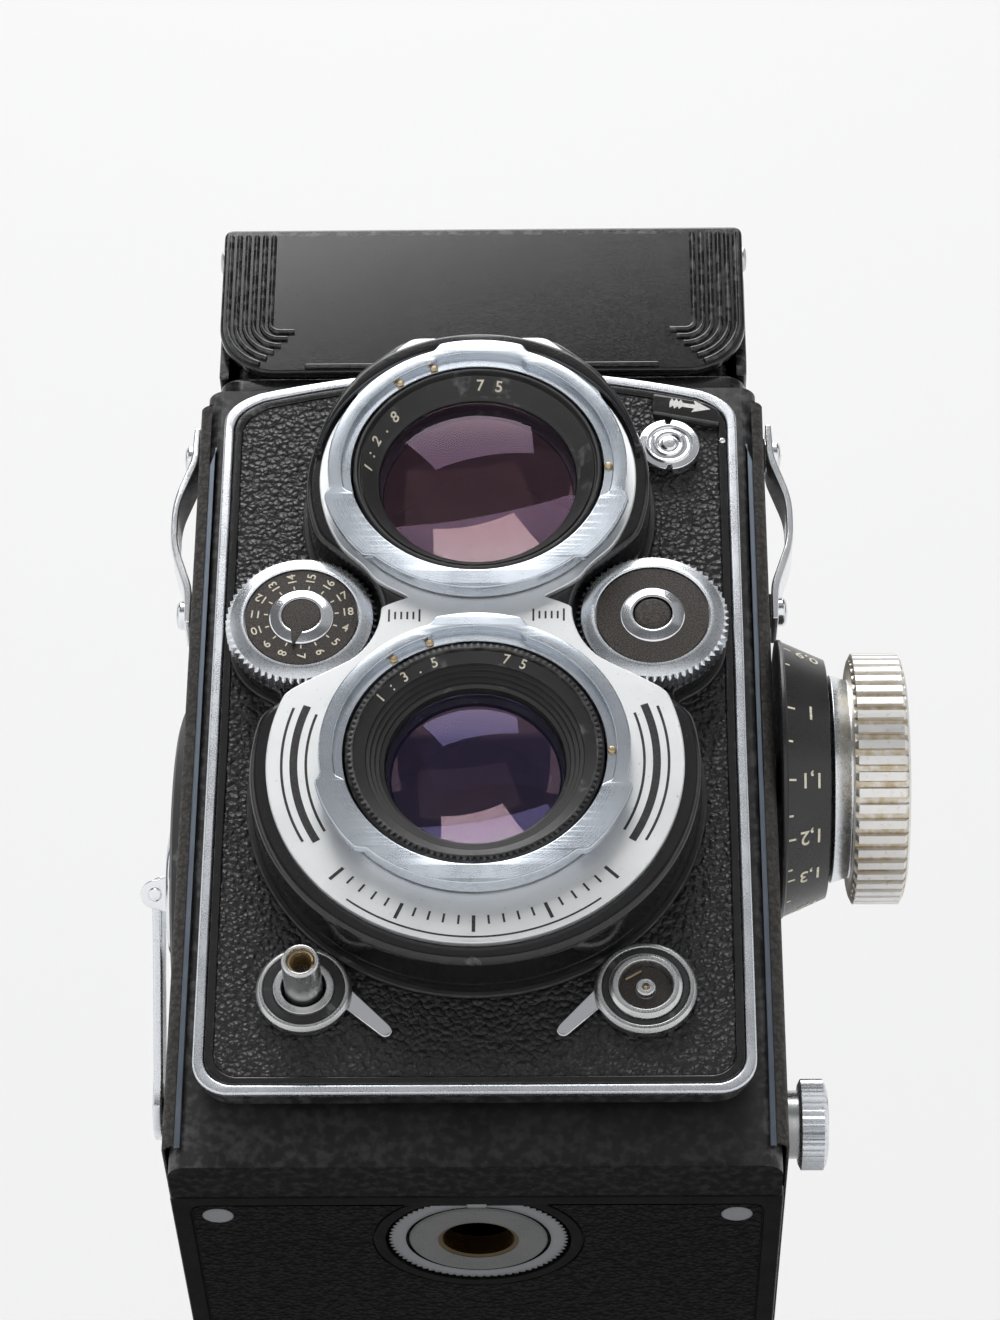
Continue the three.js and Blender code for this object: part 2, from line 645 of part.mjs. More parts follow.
function focusScale() {
  const x0 = SIDE_X + 0.7;
  const profile = [[0, 34], [3, 34], [3, x0], [KNOB.base, x0], [KNOB.base, x0 + 0.6],
    [KNOB.shoulder, x0 + 6.2], [0, x0 + 6.2]];
  return turned('x', profile, KNOB.y, KNOB.z, 32);
}

function focusGrip() {
  const x0 = SIDE_X + 0.7 + 6.2 + GAP;
  const gripFrom = x0 + 2.6;
  const gripTo = gripFrom + 6.8;
  const vee = [[0, true], [0.5, false]];
  const edge = toothed(KNOB.y, KNOB.z, KNOB.grip - 0.6, KNOB.grip, KNOB.teeth, vee);
  return join(
    disc('x', 12.4, x0, gripFrom + 0.5, KNOB.y, KNOB.z),
    prism('x', edge, gripFrom, gripTo),
    turned('x', [[0, gripTo - 0.5], [14.6, gripTo - 0.5], [14.6, gripTo], [12.5, gripTo + 0.5],
      [0, gripTo + 0.5]], KNOB.y, KNOB.z),
  );
}

// ---------------------------------------------------------------- crank

const BOSS_FACE = -(SIDE_X + GAP + 2.1);
const HUB_FACE = BOSS_FACE - GAP - 1.5;
const CRANK_PIN_X = HUB_FACE - 1.6;

function crankBoss() {
  const base = -(SIDE_X + GAP);
  const r = CRANK.bossR;
  const profile = [[3.5, base], [r, base], [r - 0.7, BOSS_FACE + 0.9], [r - 2.4, BOSS_FACE],
    [3.5, BOSS_FACE]];
  return turned('x', profile, CRANK.y, CRANK.z, 32);
}

// The crank is drawn hanging straight down from the hub, then leaned back as it is stored.
function leaned(solid) {
  const back = new THREE.Matrix4().makeTranslation(0, -CRANK.y, -CRANK.z);
  const lean = new THREE.Matrix4().makeRotationX(CRANK.lean);
  const home = new THREE.Matrix4().makeTranslation(0, CRANK.y, CRANK.z);
  const geometry = toGeometry(solid).applyMatrix4(home.multiply(lean).multiply(back));
  return toSolid(geometry);
}

function crankHub() {
  const ear = (y) => {
    const shape = new THREE.Shape();
    shape.moveTo(HUB_FACE + 0.5, CRANK.z - 2);
    shape.lineTo(CRANK_PIN_X, CRANK.z - 2);
    shape.absarc(CRANK_PIN_X, CRANK.z, 2, -Math.PI / 2, Math.PI / 2, true);
    shape.lineTo(HUB_FACE + 0.5, CRANK.z + 2);
    return prism('y', shape, CRANK.y + y - 0.6, CRANK.y + y + 0.6);
  };
  const stack = [[0, -34], [3, -34], [3, BOSS_FACE - GAP], [8.6, BOSS_FACE - GAP],
    [8.6, HUB_FACE + 0.4], [8.2, HUB_FACE], [0, HUB_FACE]];
  return leaned(join(
    turned('x', stack, CRANK.y, CRANK.z, 28),
    ear(-4.9),
    ear(4.9),
    disc('y', 0.6, CRANK.y - 5.8, CRANK.y + 5.8, CRANK_PIN_X, CRANK.z, 10),
  ));
}

function crankArm() {
  const half = 3.7;
  const shape = new THREE.Shape();
  const end = CRANK.z - CRANK.reach;
  shape.moveTo(CRANK.y - half, CRANK.z + 1.2);
  shape.lineTo(CRANK.y - half * 0.8, end);
  shape.absarc(CRANK.y, end, 4.6, Math.PI * 0.95, Math.PI * 2.05);
  shape.lineTo(CRANK.y + half, CRANK.z + 1.2);
  const plate = prism('x', shape, CRANK_PIN_X - 0.65, CRANK_PIN_X + 0.65);
  const knuckle = disc('y', 1.3, CRANK.y - 3.4, CRANK.y + 3.4, CRANK_PIN_X, CRANK.z, 14);
  const bore = disc('y', 0.8, CRANK.y - 9, CRANK.y + 9, CRANK_PIN_X, CRANK.z, 12);
  return leaned(cut(join(plate, knuckle), bore));
}

function crankHandle() {
  const from = CRANK_PIN_X + 0.65 + GAP;
  const to = -(SIDE_X + 0.5);
  const profile = [[0, from], [2.6, from], [3.6, from + 1], [3.6, to - 0.8], [2.8, to], [0, to]];
  return leaned(turned('x', profile, CRANK.y, CRANK.z - CRANK.reach, 20));
}

// ---------------------------------------------------------------- back

// The back is one L-shaped piece: the rear wall, and a flap that closes the underside.
function backDoor() {
  const w = CASTING.halfWidth + GAP;
  const wall = block(-w, w, DOOR.inner, DOOR.outer, 0, DOOR.top);
  const flap = block(-w, w, DOOR.flapFront, DOOR.inner + 1, 0, DOOR.flap);
  const roof = disc('z', 11.9, 1.2, 2.9, 0, SOCKET_Y);
  const pocket = disc('z', 11.3, -1, 1.7, 0, SOCKET_Y);
  const hole = disc('z', 4.8, -1, 4, 0, SOCKET_Y, 24);
  const knuckle = (from) => cut(
    join(
      disc('x', 1.7, from, from + 10, DOOR_AXIS.y, DOOR_AXIS.z, 16),
      block(from, from + 10, DOOR.inner + 0.4, DOOR.outer - 0.2, DOOR.top - 1.5, DOOR_AXIS.z),
    ),
    disc('x', 1.1, from - 1, from + 11, DOOR_AXIS.y, DOOR_AXIS.z, 12),
  );
  return join(cut(join(wall, flap, roof), pocket, hole), knuckle(-20), knuckle(10));
}

function pressurePlate() {
  const y0 = FILM_Y + 0.6;
  return prism('y', rectangle(-29.4, 29.4, 17, 77, 2), y0, y0 + 1.4);
}

function pressureSpring() {
  const back = DOOR.inner - GAP;
  const front = FILM_Y + 3.7;
  const thick = 0.5;
  const bow = [[back, 62], [front + thick, 52], [front + thick, 42], [back, 32], [back - thick, 31.6],
    [front, 41.7], [front, 52.3], [back - thick, 62.4]];
  return prism('x', outline(bow), -4, 4);
}

const tripodBush = () => tube('z', 4.8, 8.4, 0, 1.4, 0, SOCKET_Y, 32);

function latchRing() {
  const outer = toothed(0, SOCKET_Y, 10.4, 10.9, 24, [[0, true], [0.5, false]]);
  return cut(prism('z', outer, 0.2, 1.4), disc('z', 8.7, -1, 3, 0, SOCKET_Y, 32));
}

// ---------------------------------------------------------------- putting it together

add('body_casting', bodyCasting(), ALLOY);
add('left_side_leather', sideLeather(-1), LEATHERETTE);
add('right_side_leather', sideLeather(1), LEATHERETTE);
add('left_strap_lug', strapLug(-1), CHROME);
add('right_strap_lug', strapLug(1), CHROME);
add('crank_boss', crankBoss(), BLACK_PAINT);

add('light_cone', lightCone(), BLACK_PAINT);
add('film_gate', filmGate(), SATIN_CHROME);
add('film_roller', filmRoller(30, 9.5), SATIN_CHROME);
add('take_up_spool', takeUpSpool(), SPOOL_BLACK);
add('upper_spool_knob', spoolKnob(TAKE_UP), SATIN_CHROME);
add('lower_spool_knob', spoolKnob(FEED), SATIN_CHROME);

add('mirror_cradle', mirrorCradle(), BLACK_PAINT);
add('mirror', slope(28.5, -17, 25, -1.05, 0), SILVERED);
add('ground_glass', groundGlass(), SCREEN_GLASS);
add('hood_base', hoodBase(), BLACK_PAINT);
add('hood_apron', hoodApron(), BLACK_PAINT);
add('hood_lid', hoodLid(), BLACK_PAINT);
add('left_hood_flap', sideFlap(-1), BLACK_PAINT);
add('right_hood_flap', sideFlap(1), BLACK_PAINT);
add('rear_hood_flap', rearFlap(), BLACK_PAINT);
add('magnifier_frame', magnifierFrame(), SATIN_CHROME);
add('magnifier_lens', magnifierLens(), SCREEN_GLASS);

add('front_panel', frontPanel(), BLACK_PAINT);
add('front_trim', frontTrim(), CHROME);
add('front_leather', frontLeather(), LEATHERETTE);
add('shutter_housing', shutterHousing(), BLACK_PAINT);
add('nameplate', nameplate(), SATIN_CHROME);
add('viewing_bayonet_ring', bayonetRing(VIEWING_Z), CHROME);
add('viewing_barrel', lensBarrel(VIEWING_Z, 12.2, -31), BLACK_PAINT);
add('viewing_lens', frontGlass(VIEWING_Z, 12.2), GLASS);
add('viewing_rear_lens', rearGlass(VIEWING_Z, -35), GLASS);
add('taking_bayonet_ring', bayonetRing(TAKING_Z), CHROME);
add('taking_barrel', lensBarrel(TAKING_Z, 10.7, -36.8), BLACK_PAINT);
add('taking_front_lens', frontGlass(TAKING_Z, 10.7), GLASS);
add('shutter_body', shutterBody(), ALLOY);
add('iris_blades', irisBlades(), SPOOL_BLACK);
add('taking_rear_lens', rearGlass(TAKING_Z, -28), GLASS);

add('aperture_wheel', settingWheel(-1, false), CHROME);
add('aperture_dial', dialFace(-1), DIAL_BLACK);
add('speed_wheel', settingWheel(1, true), CHROME);
add('speed_dial', dialFace(1), DIAL_BLACK);
add('coupling_button', couplingButton(), SATIN_CHROME);
add('release_escutcheon', releaseEscutcheon(), SATIN_CHROME);
add('release_button', releaseButton(), BRASS);
add('release_catch', catchLever(-1, CATCH.release), CHROME);
add('flash_socket', flashSocket(), SATIN_CHROME);
add('flash_catch', catchLever(1, CATCH.flash), CHROME);
add('cover_disc', coverDisc(), CHROME);
add('arrow_plate', arrowPlate(), BLACK_PAINT);

add('focus_scale', focusScale(), BLACK_PAINT);
add('focus_grip', focusGrip(), SATIN_CHROME);
add('crank_hub', crankHub(), CHROME);
add('crank_arm', crankArm(), CHROME);
add('crank_handle', crankHandle(), BLACK_PAINT);

add('back_door', backDoor(), BLACK_PAINT);
add('pressure_plate', pressurePlate(), BLACK_PAINT);
add('pressure_spring', pressureSpring(), SATIN_CHROME);
add('tripod_bush', tripodBush(), SATIN_CHROME);
add('latch_ring', latchRing(), SATIN_CHROME);

export default camera;
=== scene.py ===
# Looks for the twin lens reflex camera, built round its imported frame. Sizes are in millimetres
# in the row frame, and MM turns them into metres.

import math

import bmesh
import bpy
from mathutils import Matrix, Vector
from mathutils.geometry import tessellate_polygon


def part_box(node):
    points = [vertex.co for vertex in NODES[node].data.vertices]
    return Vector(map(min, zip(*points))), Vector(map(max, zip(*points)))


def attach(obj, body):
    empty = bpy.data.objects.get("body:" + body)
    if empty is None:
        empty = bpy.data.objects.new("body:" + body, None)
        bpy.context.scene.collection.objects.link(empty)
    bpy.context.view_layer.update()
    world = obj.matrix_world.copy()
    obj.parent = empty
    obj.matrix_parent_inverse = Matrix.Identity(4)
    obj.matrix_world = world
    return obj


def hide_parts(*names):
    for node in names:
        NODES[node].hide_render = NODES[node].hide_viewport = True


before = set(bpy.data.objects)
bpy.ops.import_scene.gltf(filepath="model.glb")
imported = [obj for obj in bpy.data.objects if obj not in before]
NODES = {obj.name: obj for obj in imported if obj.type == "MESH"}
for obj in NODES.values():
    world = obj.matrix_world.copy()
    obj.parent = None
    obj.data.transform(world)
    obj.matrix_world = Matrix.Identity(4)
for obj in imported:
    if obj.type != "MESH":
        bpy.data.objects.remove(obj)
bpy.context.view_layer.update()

MM = 0.001


class Span:
    """A CAD node's box in millimetres."""

    def __init__(self, node):
        low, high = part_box(node)
        self.x0, self.y0, self.z0 = low / MM
        self.x1, self.y1, self.z1 = high / MM
        self.x, self.y, self.z = (low + high) / 2 / MM


# ---------------------------------------------------------------- mesh tools


def place(axis, u, v, w):
    """The point with coordinates u and v across an axis and w along it."""
    if axis == "x":
        return Vector((w, u, v)) * MM
    if axis == "y":
        return Vector((u, w, v)) * MM
    return Vector((u, v, w)) * MM


def new_object(name, bm, crease=32):
    bmesh.ops.recalc_face_normals(bm, faces=bm.faces)
    mesh = bpy.data.meshes.new(name)
    bm.to_mesh(mesh)
    bm.free()
    mesh.shade_smooth()
    mesh.set_sharp_from_angle(angle=math.radians(crease))
    piece = bpy.data.objects.new(name, mesh)
    bpy.context.scene.collection.objects.link(piece)
    weighted = piece.modifiers.new("normals", "WEIGHTED_NORMAL")
    weighted.keep_sharp = True
    return piece


def rounded(points, radius, closed=True, steps=3):
    """The outline with its corners rounded. radius is one number or one per corner."""
    count = len(points)
    radii = radius if isinstance(radius, (list, tuple)) else [radius] * count
    result = []
    for i, here in enumerate(points):
        here = Vector(here)
        if radii[i] == 0 or (not closed and i in (0, count - 1)):
            result.append(tuple(here))
            continue
        before = Vector(points[i - 1]) - here
        after = Vector(points[(i + 1) % count]) - here
        reach = min(radii[i], before.length * 0.45, after.length * 0.45)
        start = here + before.normalized() * reach
        end = here + after.normalized() * reach
        for k in range(steps + 1):
            t = k / steps
            result.append(tuple(start * (1 - t) ** 2 + here * 2 * t * (1 - t) + end * t ** 2))
    return result


def skin(bm, rings, capped=False):
    """Adds walls from each ring of vertices to the next, and a face at each end if capped."""
    for a, b in zip(rings, rings[1:]):
        for i in range(len(a)):
            bm.faces.new([a[i - 1], a[i], b[i], b[i - 1]])
    if capped:
        bm.faces.new(rings[0])
        bm.faces.new(rings[-1])


def lathe(bm, axis, profile, u, v, steps=96, soft=0.12):
    """Adds a turned solid from (radius, along) points, closed on themselves or on the axis."""
    closed = profile[0][0] > 0
    profile = rounded(profile, soft, closed) if soft else profile
    rings = []
    for radius, along in profile:
        turns = steps if radius > 1e-6 else 1
        angles = [math.tau * i / turns for i in range(turns)]
        rings.append([
            bm.verts.new(place(axis, u + radius * math.cos(a), v + radius * math.sin(a), along))
            for a in angles
        ])
    pairs = list(zip(rings, rings[1:]))
    if closed:
        pairs.append((rings[-1], rings[0]))
    for a, b in pairs:
        for i in range(steps):
            j = i + 1
            corners = [a[i % len(a)], a[j % len(a)], b[j % len(b)], b[i % len(b)]]
            corners = list(dict.fromkeys(corners))
            if len(corners) > 2:
                bm.faces.new(corners)


def turned(name, axis, profile, u, v, steps=96, soft=0.12):
    bm = bmesh.new()
    lathe(bm, axis, profile, u, v, steps, soft)
    return new_object(name, bm)


def grown(points, amount):
    """The outline moved out by amount, or in where it is negative."""
    count = len(points)
    area = sum(
        points[i - 1][0] * points[i][1] - points[i][0] * points[i - 1][1] for i in range(count)
    )
    side = 1 if area > 0 else -1
    result = []
    for i, (x, y) in enumerate(points):
        back = (Vector((x, y)) - Vector(points[i - 1])).normalized()
        ahead = (Vector(points[(i + 1) % count]) - Vector((x, y))).normalized()
        normal = Vector((back.y + ahead.y, -back.x - ahead.x))
        normal = normal.normalized() * side
        cosine = max(0.35, normal.dot(Vector((ahead.y, -ahead.x)) * side))
        result.append((x + normal.x * amount / cosine, y + normal.y * amount / cosine))
    return result


def pile(bm, axis, layers, holes=()):
    """Adds outlines of equally many points, stacked along an axis; each hole is a stack too."""
    walls = []
    for stack in [layers, *holes]:
        rings = [[bm.verts.new(place(axis, x, y, w)) for x, y in points] for points, w in stack]
        skin(bm, rings)
        walls.append(rings)
    for end in (0, -1):
        rims = [rings[end] for rings in walls]
        flat = [v for rim in rims for v in rim]
        outlines = [[Vector((*stack[end][0][i], 0)) for i in range(len(stack[end][0]))]
                    for stack in [layers, *holes]]
        for triangle in tessellate_polygon(outlines):
            bm.faces.new([flat[i] for i in triangle])


def edge_layers(points, low, high, edge, steps=3, sign=-1):
    """Layers of an outline between two levels, with both edges rounded by edge."""
    turns = [math.pi / 2 * k / steps for k in range(steps + 1)]
    outlines = [grown(points, sign * edge * (1 - math.sin(t))) for t in turns]
    depths = [edge * (1 - math.cos(t)) for t in turns]
    lower = [(outline, low + depth) for outline, depth in zip(outlines, depths)]
    upper = [(outline, high - depth) for outline, depth in zip(outlines, depths)]
    return lower + upper[::-1]


def slab(name, axis, points, low, high, edge=0.15, holes=(), steps=3):
    """An outline with thickness and rounded edges, and any holes through it."""
    bm = bmesh.new()
    cuts = [edge_layers(hole, low, high, edge, steps, 1) for hole in holes]
    pile(bm, axis, edge_layers(points, low, high, edge, steps), cuts)
    return new_object(name, bm, 50)


def joined(name, parts):
    """One object from several."""
    bm = bmesh.new()
    for part in parts:
        bm.from_mesh(part.data)
        bpy.data.objects.remove(part)
    return new_object(name, bm)


def arc(u, v, radius, start, end, steps=24):
    """Points on an arc between two angles in degrees."""
    angles = [math.radians(start + (end - start) * i / steps) for i in range(steps + 1)]
    return [(u + radius * math.cos(a), v + radius * math.sin(a)) for a in angles]


def circle(u, v, radius, steps=96):
    return arc(u, v, radius, 0, 360, steps)[:-1]


def oblong(u0, u1, v0, v1):
    return [(u0, v0), (u1, v0), (u1, v1), (u0, v1)]


def box_outline(u0, u1, v0, v1, radius, steps=6):
    return rounded(oblong(u0, u1, v0, v1), radius, steps=steps)


def bar_along(bm, points, normal, half, height, steps=5):
    """Adds a half-round bar that follows points (metres) on a face with that normal."""
    rings = []
    for i, point in enumerate(points):
        ahead = points[min(i + 1, len(points) - 1)] - points[max(i - 1, 0)]
        across = ahead.normalized().cross(normal)
        ring = []
        for k in range(steps + 1):
            t = math.pi * k / steps
            lift = normal * (height * math.sin(t) * MM)
            ring.append(bm.verts.new(point + across * (half * math.cos(t) * MM) + lift))
        rings.append(ring)
    skin(bm, rings, capped=True)


def star_outline(centre, circles, polygons=(), wells=(), turns=540, soften=2):
    """The outer edge of overlapping shapes seen from a centre, less some round wells."""
    points = []
    for i in range(turns):
        a = math.tau * i / turns
        d = Vector((math.cos(a), math.sin(a)))
        far = 0
        for (x, y, r) in circles:
            c = Vector((x - centre[0], y - centre[1]))
            along = d.dot(c)
            square = r * r - c.length_squared + along * along
            if square > 0:
                far = max(far, along + math.sqrt(square))
        for polygon in polygons:
            for p, q in zip(polygon, polygon[1:] + polygon[:1]):
                p = Vector(p) - Vector(centre)
                e = Vector(q) - Vector(centre) - p
                cross = d.x * e.y - d.y * e.x
                if abs(cross) < 1e-9:
                    continue
                t = (p.x * e.y - p.y * e.x) / cross
                s = (p.x * d.y - p.y * d.x) / cross
                if t > 0 and 0 <= s <= 1:
                    far = max(far, t)
        for (x, y, r) in wells:
            c = Vector((x - centre[0], y - centre[1]))
            along = d.dot(c)
            square = r * r - c.length_squared + along * along
            if square > 0 and along > 0:
                far = min(far, along - math.sqrt(square))
        points.append(far)
    for _ in range(soften):
        points = [
            (points[i - 1] + 2 * points[i] + points[(i + 1) % turns]) / 4 for i in range(turns)
        ]
    return [
        (centre[0] + r * math.cos(math.tau * i / turns),
         centre[1] + r * math.sin(math.tau * i / turns))
        for i, r in enumerate(points)
    ]


FLUTE = ((0, 1), (0.3, 0.6), (0.5, 0), (0.7, 0.6))


def gear_outline(u, v, low, high, teeth, steps=FLUTE):
    """A toothed circle. The steps of one tooth are (fraction of its pitch, height 0 to 1)."""
    points = []
    for i in range(teeth):
        for fraction, height in steps:
            a = math.tau * (i + fraction) / teeth
            radius = low + (high - low) * height
            points.append((u + radius * math.cos(a), v + radius * math.sin(a)))
    return points


# ---------------------------------------------------------------- material tools


class Finish:
    """A Principled material whose colour, roughness and bump come from nodes."""

    def __init__(self, name, **fixed):
        self.material = bpy.data.materials.new(name)
        self.material.use_nodes = True
        self.tree = self.material.node_tree
        self.shader = self.tree.nodes["Principled BSDF"]
        self.spot = self.node("ShaderNodeTexCoord").outputs["Object"]
        for socket, value in fixed.items():
            self.shader.inputs[socket.replace("_", " ")].default_value = value

    def node(self, kind, inputs=None, **settings):
        node = self.tree.nodes.new(kind)
        for key, value in settings.items():
            setattr(node, key, value)
        for key, value in (inputs or {}).items():
            if isinstance(value, bpy.types.NodeSocket):
                self.tree.links.new(value, node.inputs[key])
            else:
                node.inputs[key].default_value = value
        return node

    def stretched(self, x, y, z):
        return self.node("ShaderNodeMapping", {"Vector": self.spot, "Scale": (x, y, z)}).outputs[0]

    def noise(self, size, detail=3, spot=None, roughness=0.5):
        """Noise with features about size millimetres across."""
        return self.node("ShaderNodeTexNoise", {
            "Vector": spot or self.spot, "Scale": 1 / (size * MM), "Detail": detail,
            "Roughness": roughness,
        }).outputs["Fac"]

    def cells(self, size, spot=None, feature="F1"):
        return self.node("ShaderNodeTexVoronoi", {
            "Vector": spot or self.spot, "Scale": 1 / (size * MM),
        }, feature=feature).outputs["Distance"]

    def fit(self, value, low, high, start, end):
        return self.node("ShaderNodeMapRange", {
            "Value": value, "From Min": low, "From Max": high, "To Min": start, "To Max": end,
        }).outputs["Result"]

    def math(self, operation, a, b=0.0):
        return self.node("ShaderNodeMath", {0: a, 1: b}, operation=operation).outputs[0]

    def mix(self, factor, a, b):
        node = self.node("ShaderNodeMix", {"Factor": factor}, data_type="RGBA")
        for socket, value in ((node.inputs[6], a), (node.inputs[7], b)):
            if isinstance(value, bpy.types.NodeSocket):
                self.tree.links.new(value, socket)
            else:
                socket.default_value = (*value, 1)
        return node.outputs[2]

    def from_axis(self, centre, across):
        """The way out from an axis through centre (metres), and how far that is."""
        away = self.node("ShaderNodeVectorMath", {0: self.spot, 1: centre}, operation="SUBTRACT")
        flat = self.node("ShaderNodeVectorMath", {0: away.outputs[0], 1: across},
                         operation="MULTIPLY").outputs[0]
        length = self.node("ShaderNodeVectorMath", {0: flat}, operation="LENGTH")
        return flat, length.outputs["Value"]

    def worn_edge(self, low=0.52, high=0.58):
        """0 on flat surfaces and 1 along outer edges."""
        raw = self.node("ShaderNodeNewGeometry").outputs["Pointiness"]
        return self.fit(raw, low, high, 0.0, 1.0)

    def bump(self, height, depth, under=None):
        inputs = {"Height": height, "Distance": depth * MM, "Strength": 1.0}
        if under is not None:
            inputs["Normal"] = under
        return self.node("ShaderNodeBump", inputs).outputs["Normal"]

    def done(self, colour, roughness, normal=None):
        links = {"Base Color": colour, "Roughness": roughness, "Normal": normal}
        for name, value in links.items():
            if value is not None:
                self.tree.links.new(value, self.shader.inputs[name])
        return self.material


def painted(name, dark, light, gloss, rough, wear=(0.25, 0.25, 0.26), wear_share=0.35, coat=0.0):
    """Black lacquer: uneven tone, dust specks, fine scratches and edges rubbed lighter."""
    f = Finish(name, Coat_Weight=coat, Coat_Roughness=0.08)
    tone = f.mix(f.noise(6, 4), dark, light)
    specks = f.fit(f.noise(0.35, 2), 0.70, 0.76, 0.0, 0.25)
    tone = f.mix(specks, tone, (0.16, 0.155, 0.15))
    rub = f.math("MULTIPLY", f.worn_edge(), f.fit(f.noise(1.2, 4), 0.45, 0.65, 0.0, wear_share))
    tone = f.mix(rub, tone, wear)
    scratches = f.noise(0.5, 3, f.stretched(1, 1, 9))
    roughness = f.fit(f.math("ADD", f.noise(4, 4), scratches), 0.7, 1.3, gloss, rough)
    normal = f.bump(scratches, 0.006, f.bump(f.noise(0.25, 2), 0.006))
    return f.done(tone, roughness, normal)


def metal(name, dark, light, gloss, rough, grain=(1, 1, 1), grain_depth=0.004, stain=None):
    """Plated metal with a grain, cloudy tone, pits and tarnish."""
    f = Finish(name, Metallic=1.0)
    brushed = f.noise(0.22, 4, f.stretched(*grain), 0.65)
    cloud = f.noise(5, 4)
    tone = f.mix(f.math("ADD", f.math("MULTIPLY", brushed, 0.35), f.math("MULTIPLY", cloud, 0.6)),
                 dark, light)
    pits = f.fit(f.noise(0.5, 3), 0.68, 0.78, 0.0, 0.55)
    tone = f.mix(pits, tone, stain or (0.30, 0.27, 0.23))
    roughness = f.fit(f.math("ADD", brushed, cloud), 0.7, 1.35, gloss, rough)
    normal = f.bump(brushed, grain_depth, f.bump(pits, 0.01))
    return f.done(tone, roughness, normal)


def turned_metal(name, u, v, dark, light, gloss, rough, strength=0.8):
    """Metal brushed in circles about a front-to-back axis, so light spreads out from the centre."""
    f = Finish(name, Metallic=1.0, Anisotropic=strength)
    flat, radius = f.from_axis((u * MM, 0, v * MM), (1, 0, 1))
    rings = f.node("ShaderNodeCombineXYZ", {"X": radius})
    brushed = f.noise(0.12, 4, rings.outputs[0], 0.65)
    cloud = f.noise(5, 4)
    tone = f.mix(f.math("ADD", f.math("MULTIPLY", brushed, 0.4), f.math("MULTIPLY", cloud, 0.55)),
                 dark, light)
    pits = f.fit(f.noise(0.45, 3), 0.68, 0.78, 0.0, 0.5)
    tone = f.mix(pits, tone, (0.28, 0.25, 0.22))
    f.tree.links.new(flat, f.shader.inputs["Tangent"])
    roughness = f.fit(f.math("ADD", brushed, cloud), 0.7, 1.35, gloss, rough)
    return f.done(tone, roughness, f.bump(brushed, 0.002, f.bump(pits, 0.01)))


def leather(name, dark, light, grain, depth, gloss, rough):
    """Pebbled leatherette: domed grains between creases, over softer swells. Its colour is lighter
    on the grain tops and darker in the creases, which is painted sheen and painted shade.
    """
    f = Finish(name, Specular_IOR_Level=0.45)
    wobble = f.node("ShaderNodeTexNoise", {"Vector": f.spot, "Scale": 1 / (grain * 1.3 * MM),
                                           "Detail": 2.0}).outputs["Color"]
    shift = f.node("ShaderNodeVectorMath", {0: wobble, 1: (0.5, 0.5, 0.5)}, operation="SUBTRACT")
    scaled = f.node("ShaderNodeVectorMath", {0: shift.outputs[0], "Scale": grain * 0.9 * MM},
                    operation="SCALE")
    spot = f.node("ShaderNodeVectorMath", {0: f.spot, 1: scaled.outputs[0]},
                  operation="ADD").outputs[0]
    pebble = f.math("SUBTRACT", 1.0, f.math("POWER", f.cells(grain, spot), 1.6))
    swell = f.noise(grain * 2.2, 3)
    height = f.math("ADD", pebble, f.math("MULTIPLY", swell, 0.9))
    # painted sheen and painted shade: the colour runs from dark in the creases to light on the
    # grain tops
    tone = f.mix(f.fit(height, 0.9, 1.5, 0.0, 1.0), dark, light)
    dust = f.fit(f.noise(0.4, 3), 0.66, 0.74, 0.0, 0.3)
    tone = f.mix(dust, tone, (0.13, 0.12, 0.11))
    roughness = f.fit(height, 0.9, 1.5, rough, gloss)
    normal = f.bump(height, depth, f.bump(f.noise(0.16, 3), 0.02))
    return f.done(tone, roughness, normal)


def dial_paint(name, dark, light):
    """Black-brown dial with a sandy speckle."""
    f = Finish(name)
    speckle = f.noise(0.18, 3)
    tone = f.mix(f.fit(speckle, 0.42, 0.68, 0.0, 1.0), dark, light)
    return f.done(tone, f.fit(speckle, 0.35, 0.7, 0.6, 0.38), f.bump(speckle, 0.03))


def ink(name, colour, shade):
    """Filled engraving with a slightly broken surface."""
    f = Finish(name)
    tone = f.mix(f.fit(f.noise(0.3, 3), 0.35, 0.7, 0.0, 1.0), colour, shade)
    return f.done(tone, f.fit(f.noise(0.4, 2), 0.3, 0.7, 0.35, 0.6), f.bump(f.noise(0.15, 2), 0.01))


def coated_glass(name, centre, edge, tint, axis_z):
    """Dark opaque glass with a tinted gloss. Its colour changes from the middle to the rim: painted
    coating reflection over painted shade from inside the lens.
    """
    f = Finish(name, Specular_IOR_Level=1.0, IOR=1.62, Coat_Weight=0.25, Coat_Roughness=0.02)
    f.shader.inputs["Specular Tint"].default_value = (*tint, 1)
    _, radius = f.from_axis((0, 0, axis_z * MM), (1, 0, 1))
    # painted reflection over painted shade: the colour goes from centre to edge with the distance
    # from the lens axis
    tone = f.mix(f.fit(radius, 0.002, 0.011, 0.0, 1.0), centre, edge)
    tone = f.mix(f.fit(f.noise(0.3, 2), 0.72, 0.78, 0.0, 0.08), tone, (0.4, 0.38, 0.4))
    haze = f.noise(4, 3)
    return f.done(tone, f.fit(haze, 0.3, 0.8, 0.015, 0.04), f.bump(haze, 0.00008))


# ---------------------------------------------------------------- finishes

